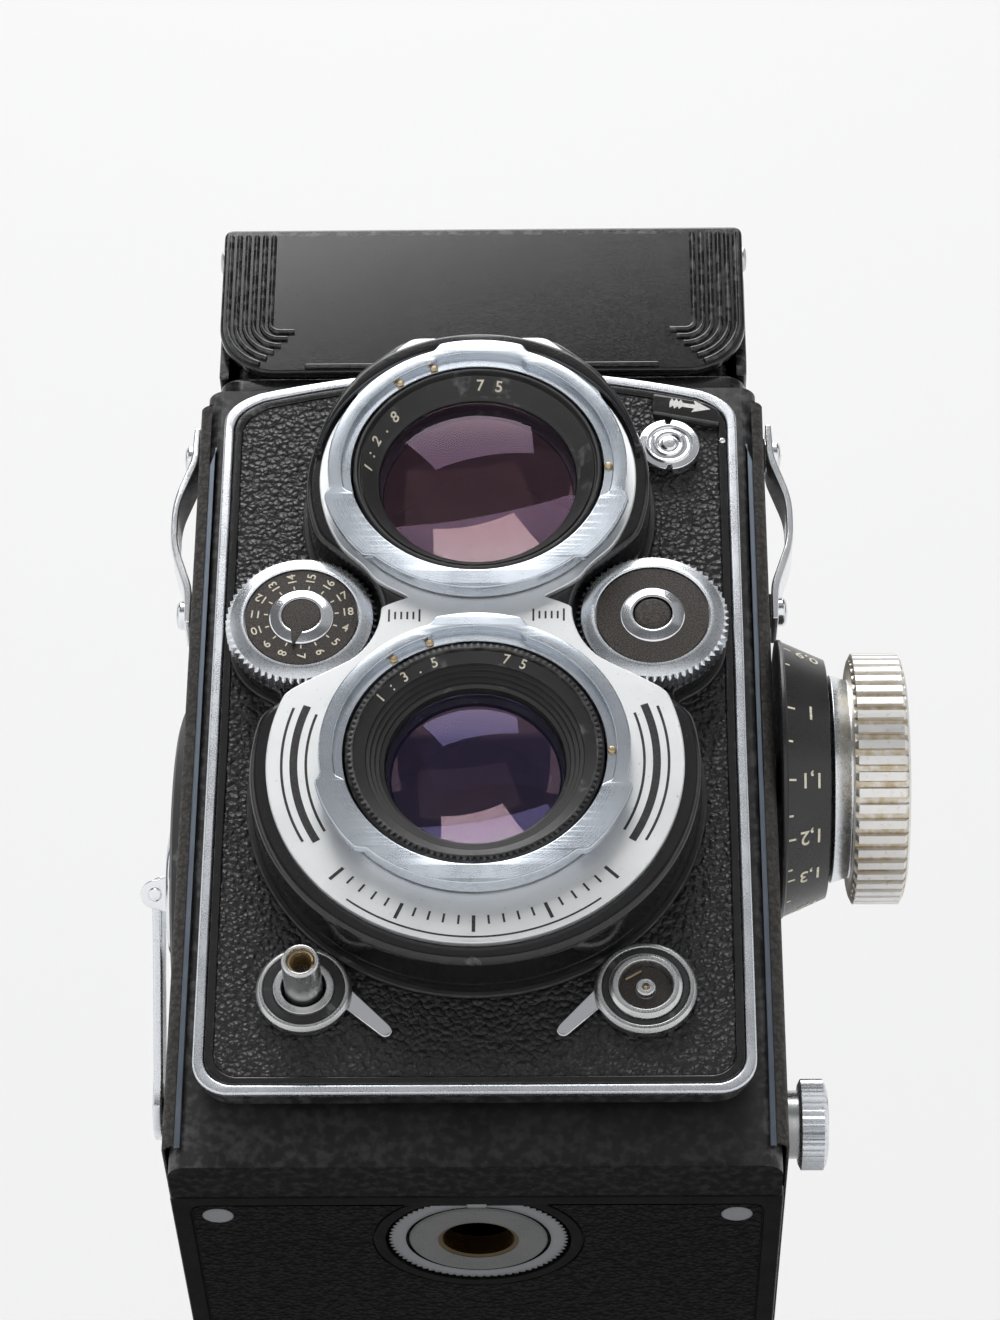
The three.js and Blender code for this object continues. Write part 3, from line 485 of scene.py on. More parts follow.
# The dark and light tones of each leather are painted shade in the creases and painted sheen on the
# grain tops.
FRONT_LEATHER = leather("front_leather_grain", (0.006, 0.006, 0.006), (0.022, 0.021, 0.021),
                        0.72, 0.30, 0.24, 0.5)
SIDE_LEATHER = leather("side_leather_grain", (0.026, 0.023, 0.021), (0.054, 0.049, 0.045),
                       0.55, 0.08, 0.5, 0.78)
GLOSS_BLACK = painted("gloss_black_lacquer", (0.007, 0.007, 0.008), (0.016, 0.015, 0.016),
                      0.05, 0.12, coat=0.1)
SATIN_BLACK = painted("satin_black_lacquer", (0.010, 0.010, 0.010), (0.028, 0.027, 0.026), 0.36,
                      0.55)
MATT_BLACK = painted("matt_black_lacquer", (0.012, 0.012, 0.012), (0.030, 0.030, 0.031), 0.62, 0.8)
KNOB_BLACK = painted("knob_black_anodised", (0.014, 0.014, 0.015), (0.030, 0.029, 0.030), 0.24,
                     0.38)
CHROME = metal("bright_chrome", (0.74, 0.76, 0.79), (0.90, 0.91, 0.93), 0.10, 0.22)
RING_CHROME = metal("satin_ring_chrome", (0.66, 0.69, 0.73), (0.88, 0.90, 0.93), 0.20, 0.36)
SATIN_CHROME = metal("satin_chrome", (0.74, 0.75, 0.76), (0.92, 0.93, 0.93), 0.42, 0.58,
                     (0.25, 1, 1.6))
EDGE_ALLOY = metal("blue_grey_edge", (0.10, 0.12, 0.15), (0.22, 0.25, 0.29), 0.36, 0.55,
                   (1, 1, 0.12))
ALLOY = metal("cast_alloy", (0.34, 0.36, 0.39), (0.58, 0.60, 0.62), 0.35, 0.6, (1, 1, 1), 0.02)
STEEL = metal("turned_steel", (0.48, 0.49, 0.50), (0.78, 0.78, 0.77), 0.2, 0.4)
DARK_STEEL = metal("blued_steel", (0.05, 0.055, 0.07), (0.16, 0.17, 0.2), 0.25, 0.45)
BRASS = metal("aged_brass", (0.36, 0.26, 0.14), (0.66, 0.53, 0.35), 0.22, 0.45)
SILVERING = metal("mirror_silvering", (0.90, 0.91, 0.92), (0.96, 0.97, 0.97), 0.01, 0.04)
DIAL_BLACK = dial_paint("dial_black_speckle", (0.014, 0.010, 0.008), (0.075, 0.060, 0.050))
CREAM = ink("cream_engraving", (0.86, 0.80, 0.66), (0.62, 0.55, 0.42))
WHITE_INK = ink("white_engraving", (0.90, 0.90, 0.88), (0.72, 0.72, 0.70))
BLACK_INK = ink("black_engraving", (0.012, 0.012, 0.013), (0.035, 0.034, 0.034))


def grip_silver():
    """Silver grip whose grooves hold old yellow grease."""
    f = Finish("aged_silver_grip", Metallic=0.9)
    _, radius = f.from_axis((0, GRIP.y * MM, GRIP.z * MM), (0, 1, 1))
    groove = f.fit(radius, 0.01535, 0.01575, 1.0, 0.0)
    grease = f.math("MULTIPLY", groove, f.fit(f.noise(1.1, 4), 0.35, 0.65, 0.2, 0.9))
    edge_stain = f.fit(f.noise(0.7, 4), 0.6, 0.75, 0.0, 0.5)
    tone = f.mix(f.noise(3, 4), (0.74, 0.73, 0.71), (0.92, 0.91, 0.89))
    tone = f.mix(f.math("MAXIMUM", grease, edge_stain), tone, (0.52, 0.42, 0.26))
    brushed = f.noise(0.2, 4, f.stretched(0.15, 1, 1))
    return f.done(tone, f.fit(brushed, 0.3, 0.7, 0.32, 0.55), f.bump(brushed, 0.01))


def dress(piece, body, look, slot, *nodes):
    piece.data.materials.append(look)
    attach(piece, body)
    if nodes:
        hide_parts(*nodes)
    return piece


# ---------------------------------------------------------------- lettering


def numerals(name, marks, thick=0.05):
    """Raised numerals. Each mark is (text, height in mm, Matrix that places it in metres)."""
    bm = bmesh.new()
    for text, height, where in marks:
        curve = bpy.data.curves.new(name, "FONT")
        curve.body = text
        curve.size = height * MM * 1.38
        curve.extrude = thick * MM
        curve.offset = 0.012 * height * MM
        curve.align_x = "CENTER"
        curve.align_y = "CENTER"
        holder = bpy.data.objects.new(name, curve)
        mesh = bpy.data.meshes.new_from_object(holder)
        mesh.transform(where)
        bm.from_mesh(mesh)
        bpy.data.objects.remove(holder)
        bpy.data.curves.remove(curve)
        bpy.data.meshes.remove(mesh)
    bmesh.ops.remove_doubles(bm, verts=bm.verts, dist=1e-7)
    return new_object(name, bm)


def frame_at(point, right, up):
    """A matrix at a point in millimetres whose text runs along right and stands along up."""
    right = Vector(right).normalized()
    up = Vector(up).normalized()
    out = right.cross(up)
    turn = Matrix((right, up, out)).transposed().to_4x4()
    return Matrix.Translation(Vector(point) * MM) @ turn


def arc_band(u, v, radius, start, end, width):
    """The outline of a curved stroke."""
    outer = arc(u, v, radius + width / 2, start, end, 40)
    inner = arc(u, v, radius - width / 2, end, start, 40)
    return outer + inner


def strokes(name, axis, outlines, low, high):
    """Many thin flat marks as one object."""
    bm = bmesh.new()
    for points in outlines:
        pile(bm, axis, [(points, low), (points, high)])
    return new_object(name, bm)


def tick(u, v, radius, angle, length, width):
    """The outline of a short radial mark that starts at radius."""
    a = math.radians(angle)
    along = Vector((math.cos(a), math.sin(a)))
    across = Vector((-along.y, along.x)) * width / 2
    near = Vector((u, v)) + along * radius
    far = near + along * length
    return [tuple(near - across), tuple(far - across), tuple(far + across), tuple(near + across)]


# ---------------------------------------------------------------- front panel

TRIM = Span("front_trim")
PANEL = {"half": TRIM.x1, "bottom": TRIM.z0, "corner": 106.6, "crown": 112.4, "radius": 4.5}
TRIM_WIDTH = 1.25
BORDER = 1.15
BORDER_FACE = -39.85
BORDER_PIN = (31.2, 100.4)
LENS_BORE = 15.95
LEATHER_HOLE = 16.5
TAKING_Z = Span("taking_barrel").z
VIEWING_Z = Span("viewing_barrel").z
LEATHER_FACE = Span("front_leather").y0


def curve_points(start, control, end, steps=10):
    a, b, c = Vector(start), Vector(control), Vector(end)
    return [tuple(a * (1 - t) ** 2 + b * 2 * t * (1 - t) + c * t ** 2)
            for t in (i / steps for i in range(1, steps))]


def panel_outline(inset):
    """Straight sides, round lower corners and a top that rises to the middle."""
    w = PANEL["half"] - inset
    bottom = PANEL["bottom"] + inset
    corner = PANEL["corner"] - inset
    crown = PANEL["crown"] - inset
    r = max(0.8, PANEL["radius"] - inset * 0.6)
    top = corner + (crown - corner) * 0.25 + 0.7
    right = [(w, corner - r * 0.6), *curve_points((w, corner - r * 0.6), (w, corner + 0.4),
                                                  (w - r, top), 8),
             (w - r, top)]
    crest = curve_points((w - r, top), (0, 2 * crown - top), (-w + r, top), 24)
    left = [(-x, z) for x, z in reversed(right)]
    return [*arc(-w + r, bottom + r, r, 180, 270, 10), *arc(w - r, bottom + r, r, -90, 0, 10),
            *right, *crest, *left]


def front_panel():
    dress(slab("trim_band", "y", panel_outline(0), TRIM.y0, TRIM.y1, 0.28,
               [panel_outline(TRIM_WIDTH)], 4), "front", RING_CHROME, "chrome", "front_trim")
    border = slab("leather_border", "y", panel_outline(TRIM_WIDTH + 0.08), BORDER_FACE, TRIM.y1,
                  0.2, [panel_outline(TRIM_WIDTH + BORDER)])
    dress(border, "front", GLOSS_BLACK, "black_paint")
    release = Span("release_button")
    holes = [circle(0, TAKING_Z, LEATHER_HOLE), circle(0, VIEWING_Z, LEATHER_HOLE),
             circle(release.x, release.z, 3.6, 40)]
    sheet = slab("front_leather_sheet", "y", panel_outline(TRIM_WIDTH + BORDER - 0.1),
                 LEATHER_FACE - 0.1, Span("front_leather").y1, 0.3, holes)
    dress(sheet, "front", FRONT_LEATHER, "leatherette", "front_leather")
    pin = [(0, -39.9), (0.42, -39.9), (0.42, -40.25), (0.25, -40.4), (0, -40.4)]
    dress(turned("border_pin", "y", pin, *BORDER_PIN, 24, 0.05), "front", CHROME, "chrome")


def shutter_housing():
    wheels = [Span("aperture_wheel"), Span("speed_wheel")]
    wells = [(w.x, w.z, w.x1 - w.x + 0.5) for w in wheels]
    pads = [(w.x, w.z, 8.6) for w in wheels]
    middle = (0, (TAKING_Z + VIEWING_Z) / 2)
    span = Span("shutter_housing")
    crown = [(-20, 92), (20, 92), (16.2, 106), (9.8, 111.8), (-9.8, 111.8), (-16.2, 106)]
    lobes = [(0, TAKING_Z, 27.3), (0, VIEWING_Z, 21.7)]
    bores = [circle(0, TAKING_Z, LENS_BORE), circle(0, VIEWING_Z, LENS_BORE)]
    upper = star_outline(middle, lobes, [crown], wells, soften=10)
    body = slab("housing_body", "y", upper, span.y0, span.y1, 0.95, bores, 5)
    dress(body, "front", GLOSS_BLACK, "black_paint", "shutter_housing")
    waist = [(-12, 58), (12, 58), (15, 66), (17.5, 78), (14, 84), (-14, 84), (-17.5, 78), (-15, 66)]
    flank = star_outline(middle, [*lobes, *pads], [crown, waist], soften=14)
    skirt = slab("housing_skirt", "y", grown(flank, 0.1), -42.7, span.y1 - 0.02, 0.7, bores, 5)
    dress(skirt, "front", GLOSS_BLACK, "black_paint")
    flange = slab("housing_flange", "y", grown(flank, 0.75), span.y1 - 0.55, span.y1 - 0.01, 0.24,
                  bores)
    dress(flange, "front", SATIN_BLACK, "black_paint")
    outer = [(math.radians(a), 21.1 + 1.3 * between(a, 62, 118, 50)) for a in range(12, 169, 2)]
    brow = [(r * math.cos(a), VIEWING_Z + r * math.sin(a)) for a, r in outer]
    brow += arc(0, VIEWING_Z, 20.35, 168, 12, 80)
    dress(slab("housing_brow", "y", brow, -49.0, span.y0 + 1, 0.5, (), 5), "front", GLOSS_BLACK,
          "black_paint")

    plate = Span("nameplate")
    face_crown = [(-18.2, 93), (18.2, 93), (14.6, 105), (8.7, 111), (-8.7, 111), (-14.6, 105)]
    face = star_outline(middle, [(0, TAKING_Z, 25.2), (0, VIEWING_Z, 19.9)], [face_crown], wells,
                        soften=3)
    name_plate = slab("satin_plate", "y", face, plate.y0, plate.y1 + 0.25, 0.16, bores)
    dress(name_plate, "front", SATIN_CHROME, "satin_chrome", "nameplate")
    engraving(plate.y0)


def engraving(face):
    """Black filled lines on the plate: arcs each side, a ruled band and two rows of short marks."""
    marks = []
    for middle in (185, -5):
        for radius, width, half in ((23.3, 0.32, 24), (21.85, 0.95, 26), (20.35, 0.32, 24)):
            marks.append(arc_band(0, TAKING_Z, radius, middle - half, middle + half, width))
    for i in range(-10, 11):
        long_mark = i % 5 == 0
        length = 2.2 if long_mark else 1.2
        marks.append(tick(0, TAKING_Z, 21.5, -90 + i * 4.6, length, 0.42 if long_mark else 0.26))
    marks.append(arc_band(0, TAKING_Z, 24.35, -128, -52, 0.22))
    for side in (-1, 1):
        for i in range(6):
            x = side * (7.0 + i * 0.75)
            high = 0.9 if i in (0, 5) else 0.55
            marks.append(oblong(x - 0.12, x + 0.12, 68 - high, 68 + high))
    dress(strokes("plate_engraving", "y", marks, face - 0.03, face + 0.1), "front", BLACK_INK,
          "dial_black")


# ---------------------------------------------------------------- lenses


def ease(value):
    value = min(1, max(0, value))
    return value * value * (3 - 2 * value)


def between(angle, start, end, ramp=4):
    """1 where an angle is inside a range, easing to 0 over ramp degrees."""
    middle, half = (start + end) / 2, (end - start) / 2
    away = abs((angle - middle + 180) % 360 - 180)
    return ease((half + ramp - away) / ramp)


def polar_outline(u, v, radius_at, turns=360):
    points = []
    for i in range(turns):
        angle = 360 * i / turns
        radius = radius_at(angle)
        a = math.radians(angle)
        points.append((u + radius * math.cos(a), v + radius * math.sin(a)))
    return points


def bayonet_ring(label, z, node):
    span = Span(node)
    front, back = span.y0, span.y1
    inner, outer, lug = 15.9, 18.75, 19.6
    ledge = front + 0.85

    def rim(angle):
        lugs = max(between(angle, middle - 15, middle + 15) for middle in (89, 209, 329))
        return outer + (lug - outer) * lugs

    def mouth(angle):
        groove = between(angle, -15, 192)
        recess = between(angle, 73, 106, 5)
        return inner + 0.12 + groove * 0.95 + recess * 0.55

    look = turned_metal(f"{label}_ring_metal", 0, z, (0.46, 0.51, 0.58), (0.78, 0.82, 0.87), 0.22,
                        0.34)
    collar = [(inner, back), (outer - 0.25, back), (outer - 0.1, front + 1.1), (outer - 0.3, ledge),
              (inner, ledge)]
    dress(turned(f"{label}_ring_collar", "y", collar, 0, z, 160, 0.1), "front", look, "chrome",
          node)
    face = slab(f"{label}_ring_face", "y", polar_outline(0, z, rim), front, front + 1.15, 0.2,
                [polar_outline(0, z, mouth)])
    dress(face, "front", look, "chrome")
    for i, angle in enumerate((127, 110, 0)):
        a = math.radians(angle)
        head = [(0, ledge), (0.5, ledge), (0.5, ledge - 0.3), (0.3, ledge - 0.45),
                (0, ledge - 0.45)]
        screw = turned(f"{label}_ring_screw_{i}", "y", head, 16.45 * math.cos(a),
                       z + 16.45 * math.sin(a), 20, 0.05)
        dress(screw, "front", BRASS, "brass")


BARREL_SHELF = -37.6
BARREL_SEAT = -44


def barrel(label, z, glass, back, node, toothed):
    """A black barrel: a rim, then steps or a slope for the figures down to the glass."""
    wall = glass + 0.3
    outside = [(wall + 1.3, back), (wall + 1.3, BARREL_SHELF), (15.6, BARREL_SHELF), (15.6, -50.2)]
    inside = [(wall, BARREL_SEAT), (wall - 1, BARREL_SEAT), (wall - 1, back)]
    if toothed:
        steps = []
        radius, level = 13.2, -49.5
        for _ in range(4):
            steps += [(radius, level), (radius - 0.1, level + 0.5)]
            radius, level = radius - 0.55, level + 0.5
        rim = [(15.3, -50.5), (14.75, -50.5), (14.6, -50.1), *steps, (wall, -47.3)]
        teeth = gear_outline(0, z, 14.85, 15.35, 120, ((0, 0), (0.3, 0.1), (0.5, 1), (0.8, 0.9)))
        gear = slab(f"{label}_toothed_ring", "y", teeth, -50.75, -50.1, 0.04,
                    [circle(0, z, 14.6, 120)], 1)
        dress(gear, "front", SATIN_BLACK, "black_paint")
    else:
        rim = [(15.4, -50.5), (15.1, -50.5), (14.95, -49.9), (14.75, -49.9), (14.6, -50.15),
               (12.9, -48.0), (wall, -47.6)]
    profile = outside + rim + inside
    dress(turned(f"{label}_barrel_body", "y", profile, 0, z, 128, 0.05), "front", SATIN_BLACK,
          "black_paint", node)


def dished(radius, middle, rim, back_middle, back_rim, rings=14):
    """A lens section with curved faces, as a lathe profile."""
    front = [(radius * i / rings, middle + (rim - middle) * (i / rings) ** 2)
             for i in range(rings + 1)]
    rear = [(radius * i / rings, back_middle + (back_rim - back_middle) * (i / rings) ** 2)
            for i in range(rings, -1, -1)]
    return front + rear


def lens(label, z, radius, middle, node, tint, inner_painted_middle, inner_painted_rim, inner_tint):
    outer = Finish(f"{label}_front_glass", Transmission_Weight=1.0, IOR=1.5, Specular_IOR_Level=0.9)
    outer.shader.inputs["Specular Tint"].default_value = (*tint, 1)
    dust = outer.fit(outer.noise(0.25, 3), 0.7, 0.8, 0.0, 0.25)
    tone = outer.mix(dust, (0.93, 0.90, 0.95), (0.6, 0.58, 0.6))
    haze = outer.noise(5, 3)
    material = outer.done(tone, outer.fit(haze, 0.3, 0.8, 0.0, 0.03), outer.bump(haze, 0.00005))
    glass = turned(f"{label}_front_element", "y", dished(radius, middle, middle + 2, middle + 2.6,
                                                         middle + 2.85),
                   0, z, 128, 0)
    dress(glass, "front", material, "coated_glass", node)
    # The inner element is an opaque dark disc: its colours are painted shade inside the lens and
    # painted coating reflection, lighter towards the rim.
    deep = coated_glass(f"{label}_inner_glass", inner_painted_middle, inner_painted_rim, inner_tint, z)
    inner = turned(f"{label}_inner_element", "y",
                   dished(radius - 1.1, -41.7, -43.5, -40.6, -40.9), 0, z, 128, 0)
    dress(inner, "front", deep, "coated_glass")


def lens_figures():
    """Plain aperture and focal figures round each lens."""
    marks = []

    def round_text(text, z, radius, level, middle, pitch, height, slope):
        for i, letter in enumerate(text):
            angle = math.radians(middle - (i - (len(text) - 1) / 2) * pitch)
            out = Vector((math.cos(angle), 0, math.sin(angle)))
            right = Vector((math.sin(angle), 0, -math.cos(angle)))
            up = (out - Vector((0, slope, 0))).normalized()
            point = Vector((0, level, z)) + out * radius
            marks.append((letter, height, frame_at(point, right, up)))

    for text, middle, pitch in (("1:2.8", 158, 9.0), ("75", 84, 10)):
        round_text(text, VIEWING_Z, 13.75, -49.12, middle, pitch, 1.5, 1.26)
    for text, middle, pitch in (("1:3.5", 128, 8.5), ("75", 70, 9)):
        round_text(text, TAKING_Z, 13.95, -49.88, middle, pitch, 1.25, 0.43)
    dress(numerals("lens_figures", marks, 0.04), "front", CREAM, "dial_black")


def lenses():
    bayonet_ring("viewing", VIEWING_Z, "viewing_bayonet_ring")
    bayonet_ring("taking", TAKING_Z, "taking_bayonet_ring")
    barrel("viewing", VIEWING_Z, 12.2, Span("viewing_barrel").y1, "viewing_barrel", False)
    barrel("taking", TAKING_Z, 10.7, Span("taking_barrel").y1, "taking_barrel", True)
    # The inner element's middle and rim colours below are painted shade and painted coating
    # reflection.
    lens("viewing", VIEWING_Z, 12.4, -49.3, "viewing_lens", (0.42, 0.22, 0.42),
         (0.020, 0.010, 0.010), (0.035, 0.018, 0.016), (0.48, 0.22, 0.18))
    lens("taking", TAKING_Z, 10.8, -48.4, "taking_front_lens", (0.25, 0.22, 0.62),
         (0.012, 0.009, 0.014), (0.020, 0.016, 0.030), (0.42, 0.22, 0.28))
    lens_figures()


# ---------------------------------------------------------------- wheels

WHEEL_TEETH = 60
WHEEL_FACE = -46.6
FIRST_FIGURE, FIGURE_STEP = 7, 24


def wheel(label, node, body):
    w = Span(node)
    r = w.x1 - w.x
    back, front = w.y1, WHEEL_FACE
    vee = ((0, 1), (0.28, 0.45), (0.5, 0), (0.72, 0.45))
    flutes = gear_outline(w.x, w.z, r - 0.62, r, WHEEL_TEETH, vee)
    count = len(flutes)
    layers = [(grown(flutes, -0.3), back), (flutes, back - 0.3), (flutes, front + 0.95),
              (circle(w.x, w.z, r - 0.62, count), front + 0.55),
              (circle(w.x, w.z, 7.65, count), front + 0.05),
              (circle(w.x, w.z, 7.4, count), front)]
    hole = [(circle(w.x, w.z, 7.1, count), back), (circle(w.x, w.z, 7.1, count), front + 0.1),
            (circle(w.x, w.z, 7.2, count), front)]
    bm = bmesh.new()
    pile(bm, "y", layers, [hole])
    dress(new_object(f"{label}_wheel_rim", bm, 26), body, RING_CHROME, "chrome", node)
    bore = 2.6 if label == "speed" else 0
    web = [(bore, back - 1.2), (7.3, back - 1.2), (7.3, front + 0.9), (bore, front + 0.9)]
    dress(turned(f"{label}_wheel_web", "y", web, w.x, w.z, 64), body, STEEL, "chrome")
    hub = [(2.45, front + 0.6), (4.0, front + 0.6), (4.0, front + 0.1), (3.85, front),
           (2.75, front - 0.32), (2.45, front - 0.3)]
    dress(turned(f"{label}_wheel_hub", "y", hub, w.x, w.z, 96, 0.06), body, CHROME, "chrome")


def dial(label, node, body):
    d = Span(node)
    r = d.x1 - d.x
    face = [(3.95, d.y1), (r - 0.1, d.y1), (r - 0.1, d.y0 + 0.05), (3.95, d.y0)]
    dress(turned(f"{label}_dial_face", "y", face, d.x, d.z, 96, 0.05), body, DIAL_BLACK,
          "dial_black", node)
    return d


def aperture_dial():
    wheel("aperture", "aperture_wheel", "aperture_setting")
    d = dial("aperture", "aperture_dial", "aperture_setting")
    level = d.y0
    marks, ticks = [], []
    for number in range(4, 19):
        angle = FIRST_FIGURE + (18 - number) * FIGURE_STEP
        a = math.radians(angle)
        out = Vector((math.cos(a), 0, math.sin(a)))
        up = Vector((-math.sin(a), 0, math.cos(a)))
        point = Vector((d.x, level, d.z)) + out * 5.75
        marks.append((str(number), 1.12, frame_at(point, out, up)))
        ticks.append(tick(d.x, d.z, 4.15, angle, 0.5, 0.17))
    dress(numerals("aperture_figures", marks, 0.03), "aperture_setting", CREAM, "dial_black")
    dress(strokes("aperture_ticks", "y", ticks, level - 0.03, level + 0.05), "aperture_setting",
          CREAM, "dial_black")
    centre = [(0, level + 0.5), (2.5, level + 0.5), (2.5, level - 0.28), (2.2, level - 0.36),
              (0, level - 0.36)]
    dress(turned("aperture_centre", "y", centre, d.x, d.z, 64, 0.08), "aperture_setting",
          DIAL_BLACK, "dial_black")
    a = math.radians(258)
    tip = (d.x + 4.6 * math.cos(a), d.z + 4.6 * math.sin(a))
    side = [(d.x + 2.2 * math.cos(a + t), d.z + 2.2 * math.sin(a + t)) for t in (-0.42, 0.42)]
    pointer = slab("aperture_pointer", "y", [side[0], tip, side[1]], level - 0.5, level - 0.02,
                   0.03, (), 1)
    dress(pointer, "aperture_setting", DIAL_BLACK, "dial_black")


def speed_dial():
    wheel("speed", "speed_wheel", "speed_setting")
    d = dial("speed", "speed_dial", "speed_setting")
    button = Span("coupling_button")
    stem = [(0, button.y1), (2.3, button.y1), (2.3, d.y0 - 0.2), (2.05, d.y0 - 0.42),
            (0, d.y0 - 0.42)]
    dress(turned("coupling_button_cap", "y", stem, d.x, d.z, 64, 0.1), "coupling_button",
          DIAL_BLACK, "dial_black", "coupling_button")


# ---------------------------------------------------------------- studs, cover and arrow


def knurled(name, axis, u, v, radius, depth, teeth, low, high, edge, body, look, slot, *nodes):
    """A disc with a fluted edge, chamfered at both ends."""
    flutes = gear_outline(u, v, radius - depth, radius, teeth)
    count = len(flutes)
    tight = circle(u, v, radius - depth - edge, count)
    bm = bmesh.new()
    pile(bm, axis, [(tight, low), (flutes, low + edge), (flutes, high - edge), (tight, high)])
    return dress(new_object(name, bm, 28), body, look, slot, *nodes)


def release():
    s = Span("release_button")
    r = s.x1 - s.x
    face = LEATHER_FACE - 0.3
    ring = [(r + 0.45, face), (4.4, face), (5.7, face - 0.55), (5.7, face - 1.1),
            (5.35, face - 1.55),
            (4.95, face - 1.6), (4.85, face - 1.3), (3.7, face - 1.3), (3.6, face - 1.75),
            (r + 0.45, face - 1.8)]
    dress(turned("release_collar", "y", ring, s.x, s.z, 96, 0.1), "front", STEEL, "satin_chrome",
          "release_escutcheon")
    band = [(3.72, face - 1.28), (4.83, face - 1.28), (4.83, face - 1.42), (3.72, face - 1.42)]
    dress(turned("release_collar_band", "y", band, s.x, s.z, 96, 0.03), "front", SATIN_BLACK,
          "black_paint")
    wall = [(0, s.y1), (r - 0.1, s.y1), (r, s.y1 - 1.5), (r, s.y0 + 0.3), (r - 0.25, s.y0),
            (1.75, s.y0), (1.6, s.y0 + 0.4), (1.6, -44.0), (0, -44.0)]
    dress(turned("release_tube", "y", wall, s.x, s.z, 72, 0.1), "release_button", STEEL,
          "satin_chrome", "release_button")
    bm = bmesh.new()
    turns, radius, pitch, steps = 6, 1.42, 0.55, 28
    path = []
    for i in range(turns * steps + 1):
        a = math.tau * i / steps
        path.append(Vector((s.x + radius * math.cos(a), s.y0 + 0.45 + pitch * i / steps,
                            s.z + radius * math.sin(a))) * MM)
    thread_tube(bm, path, Vector((s.x, 0, s.z)) * MM, 0.2)
    dress(new_object("release_thread", bm), "release_button", BRASS, "brass")


def thread_tube(bm, path, axis_point, radius, sides=6):
    """Adds a closed round wire that winds about a line along Y."""
    rings = []
    for i, point in enumerate(path):
        ahead = (path[min(i + 1, len(path) - 1)] - path[max(i - 1, 0)]).normalized()
        out = point - axis_point
        out.y = 0
        out.normalize()
        other = ahead.cross(out).normalized()
        rings.append([
            bm.verts.new(point + (out * math.cos(t) + other * math.sin(t)) * radius * MM)
            for t in (math.tau * k / sides for k in range(sides))
        ])
    skin(bm, rings, capped=True)


def flash_socket():
    s = Span("flash_socket")
    face = s.y1
    ring = [(0, face), (4.8, face), (6.1, face - 0.6), (6.1, face - 1.15), (5.75, face - 1.6),
            (5.25, face - 1.65), (5.15, face - 1.3), (4.45, face - 1.3), (4.35, face - 1.7),
            (3.9, face - 2.05), (3.3, face - 2.05), (3.15, face - 1.6), (3.15, face - 0.5),
            (0, face - 0.5)]
    dress(turned("flash_collar", "y", ring, s.x, s.z, 112, 0.1), "front", STEEL, "satin_chrome",
          "flash_socket")
    band = [(4.47, face - 1.28), (5.13, face - 1.28), (5.13, face - 1.45), (4.47, face - 1.45)]
    dress(turned("flash_collar_band", "y", band, s.x, s.z, 96, 0.03), "front", SATIN_BLACK,
          "black_paint")
    floor = [(1.2, face - 0.47), (3.1, face - 0.47), (3.1, face - 0.6), (1.2, face - 0.6)]
    dress(turned("flash_floor", "y", floor, s.x, s.z, 64, 0.03), "front", DIAL_BLACK, "dial_black")
    pin = [(0.5, face - 0.45), (1.15, face - 0.45), (1.15, face - 1.35), (0.95, face - 1.5),
           (0.5, face - 1.5)]
    dress(turned("flash_pin_sleeve", "y", pin, s.x, s.z, 40, 0.06), "front", STEEL, "satin_chrome")
    core = [(0, face - 0.45), (0.3, face - 0.45), (0.3, face - 1.2), (0, face - 1.3)]
    dress(turned("flash_pin", "y", core, s.x, s.z, 24, 0.05), "front", BRASS, "brass")
    spring = slab("flash_spring", "y", [(s.x - 2.3, s.z + 1.1), (s.x - 0.4, s.z + 2.2),
                                        (s.x - 0.5, s.z + 2.4), (s.x - 2.4, s.z + 1.3)],
                  face - 1.15, face - 0.9, 0.03, (), 1)
    dress(spring, "front", BRASS, "brass")


def catches():
    """Bright catches that lean inwards from under both collars."""
    for side, node in ((-1, "release_catch"), (1, "flash_catch")):
        s = Span(node)
        stud = Span("release_button" if side < 0 else "flash_socket")
        outer = 5.65 if side < 0 else 6.05
        inner = outer - 0.85
        collar = [(inner, s.y1), (outer, s.y1), (outer, s.y0), (inner, s.y0)]
        ring = turned("catch_ring", "y", collar, stud.x, stud.z, 72, 0.08)
        arm = [(inner + 0.1, -2.2), (9.5, -6.1), (10.2, -6.0), (10.6, -5.3), (10.4, -4.7),
               (inner + 0.5, 0.6)]
        points = rounded([(stud.x - side * u, stud.z + v) for u, v in arm],
                         [0, 0.5, 0.4, 0.4, 0.5, 0])
        lever = slab("catch_arm", "y", points, s.y0, s.y1, 0.15)
        dress(joined(f"{node}_lever", [ring, lever]), node, CHROME, "chrome", node)


def cover_disc():
    s = Span("cover_disc")
    r = s.x1 - s.x
    face = s.y0

    def rim(angle):
        notch = max(between(angle, 86, 94, 1), between(angle, 266, 274, 1))
        return r - 0.75 * notch

    edge = slab("cover_edge", "y", polar_outline(s.x, s.z, rim, 240), face + 0.35, s.y1, 0.18)
    rings = [(0, face + 0.5), (3.1, face + 0.5), (3.1, face + 0.3), (2.9, face + 0.05),
             (2.55, face + 0.1),
             (2.35, face + 0.4), (2.05, face + 0.4), (1.85, face + 0.05), (1.5, face + 0.1),
             (1.3, face + 0.35), (1.05, face + 0.3), (0.8, face + 0.02), (0, face)]
    middle = turned("cover_rings", "y", rings, s.x, s.z, 96, 0.07)
    dress(joined("turned_cover", [edge, middle]), "cover_disc", CHROME, "chrome", "cover_disc")


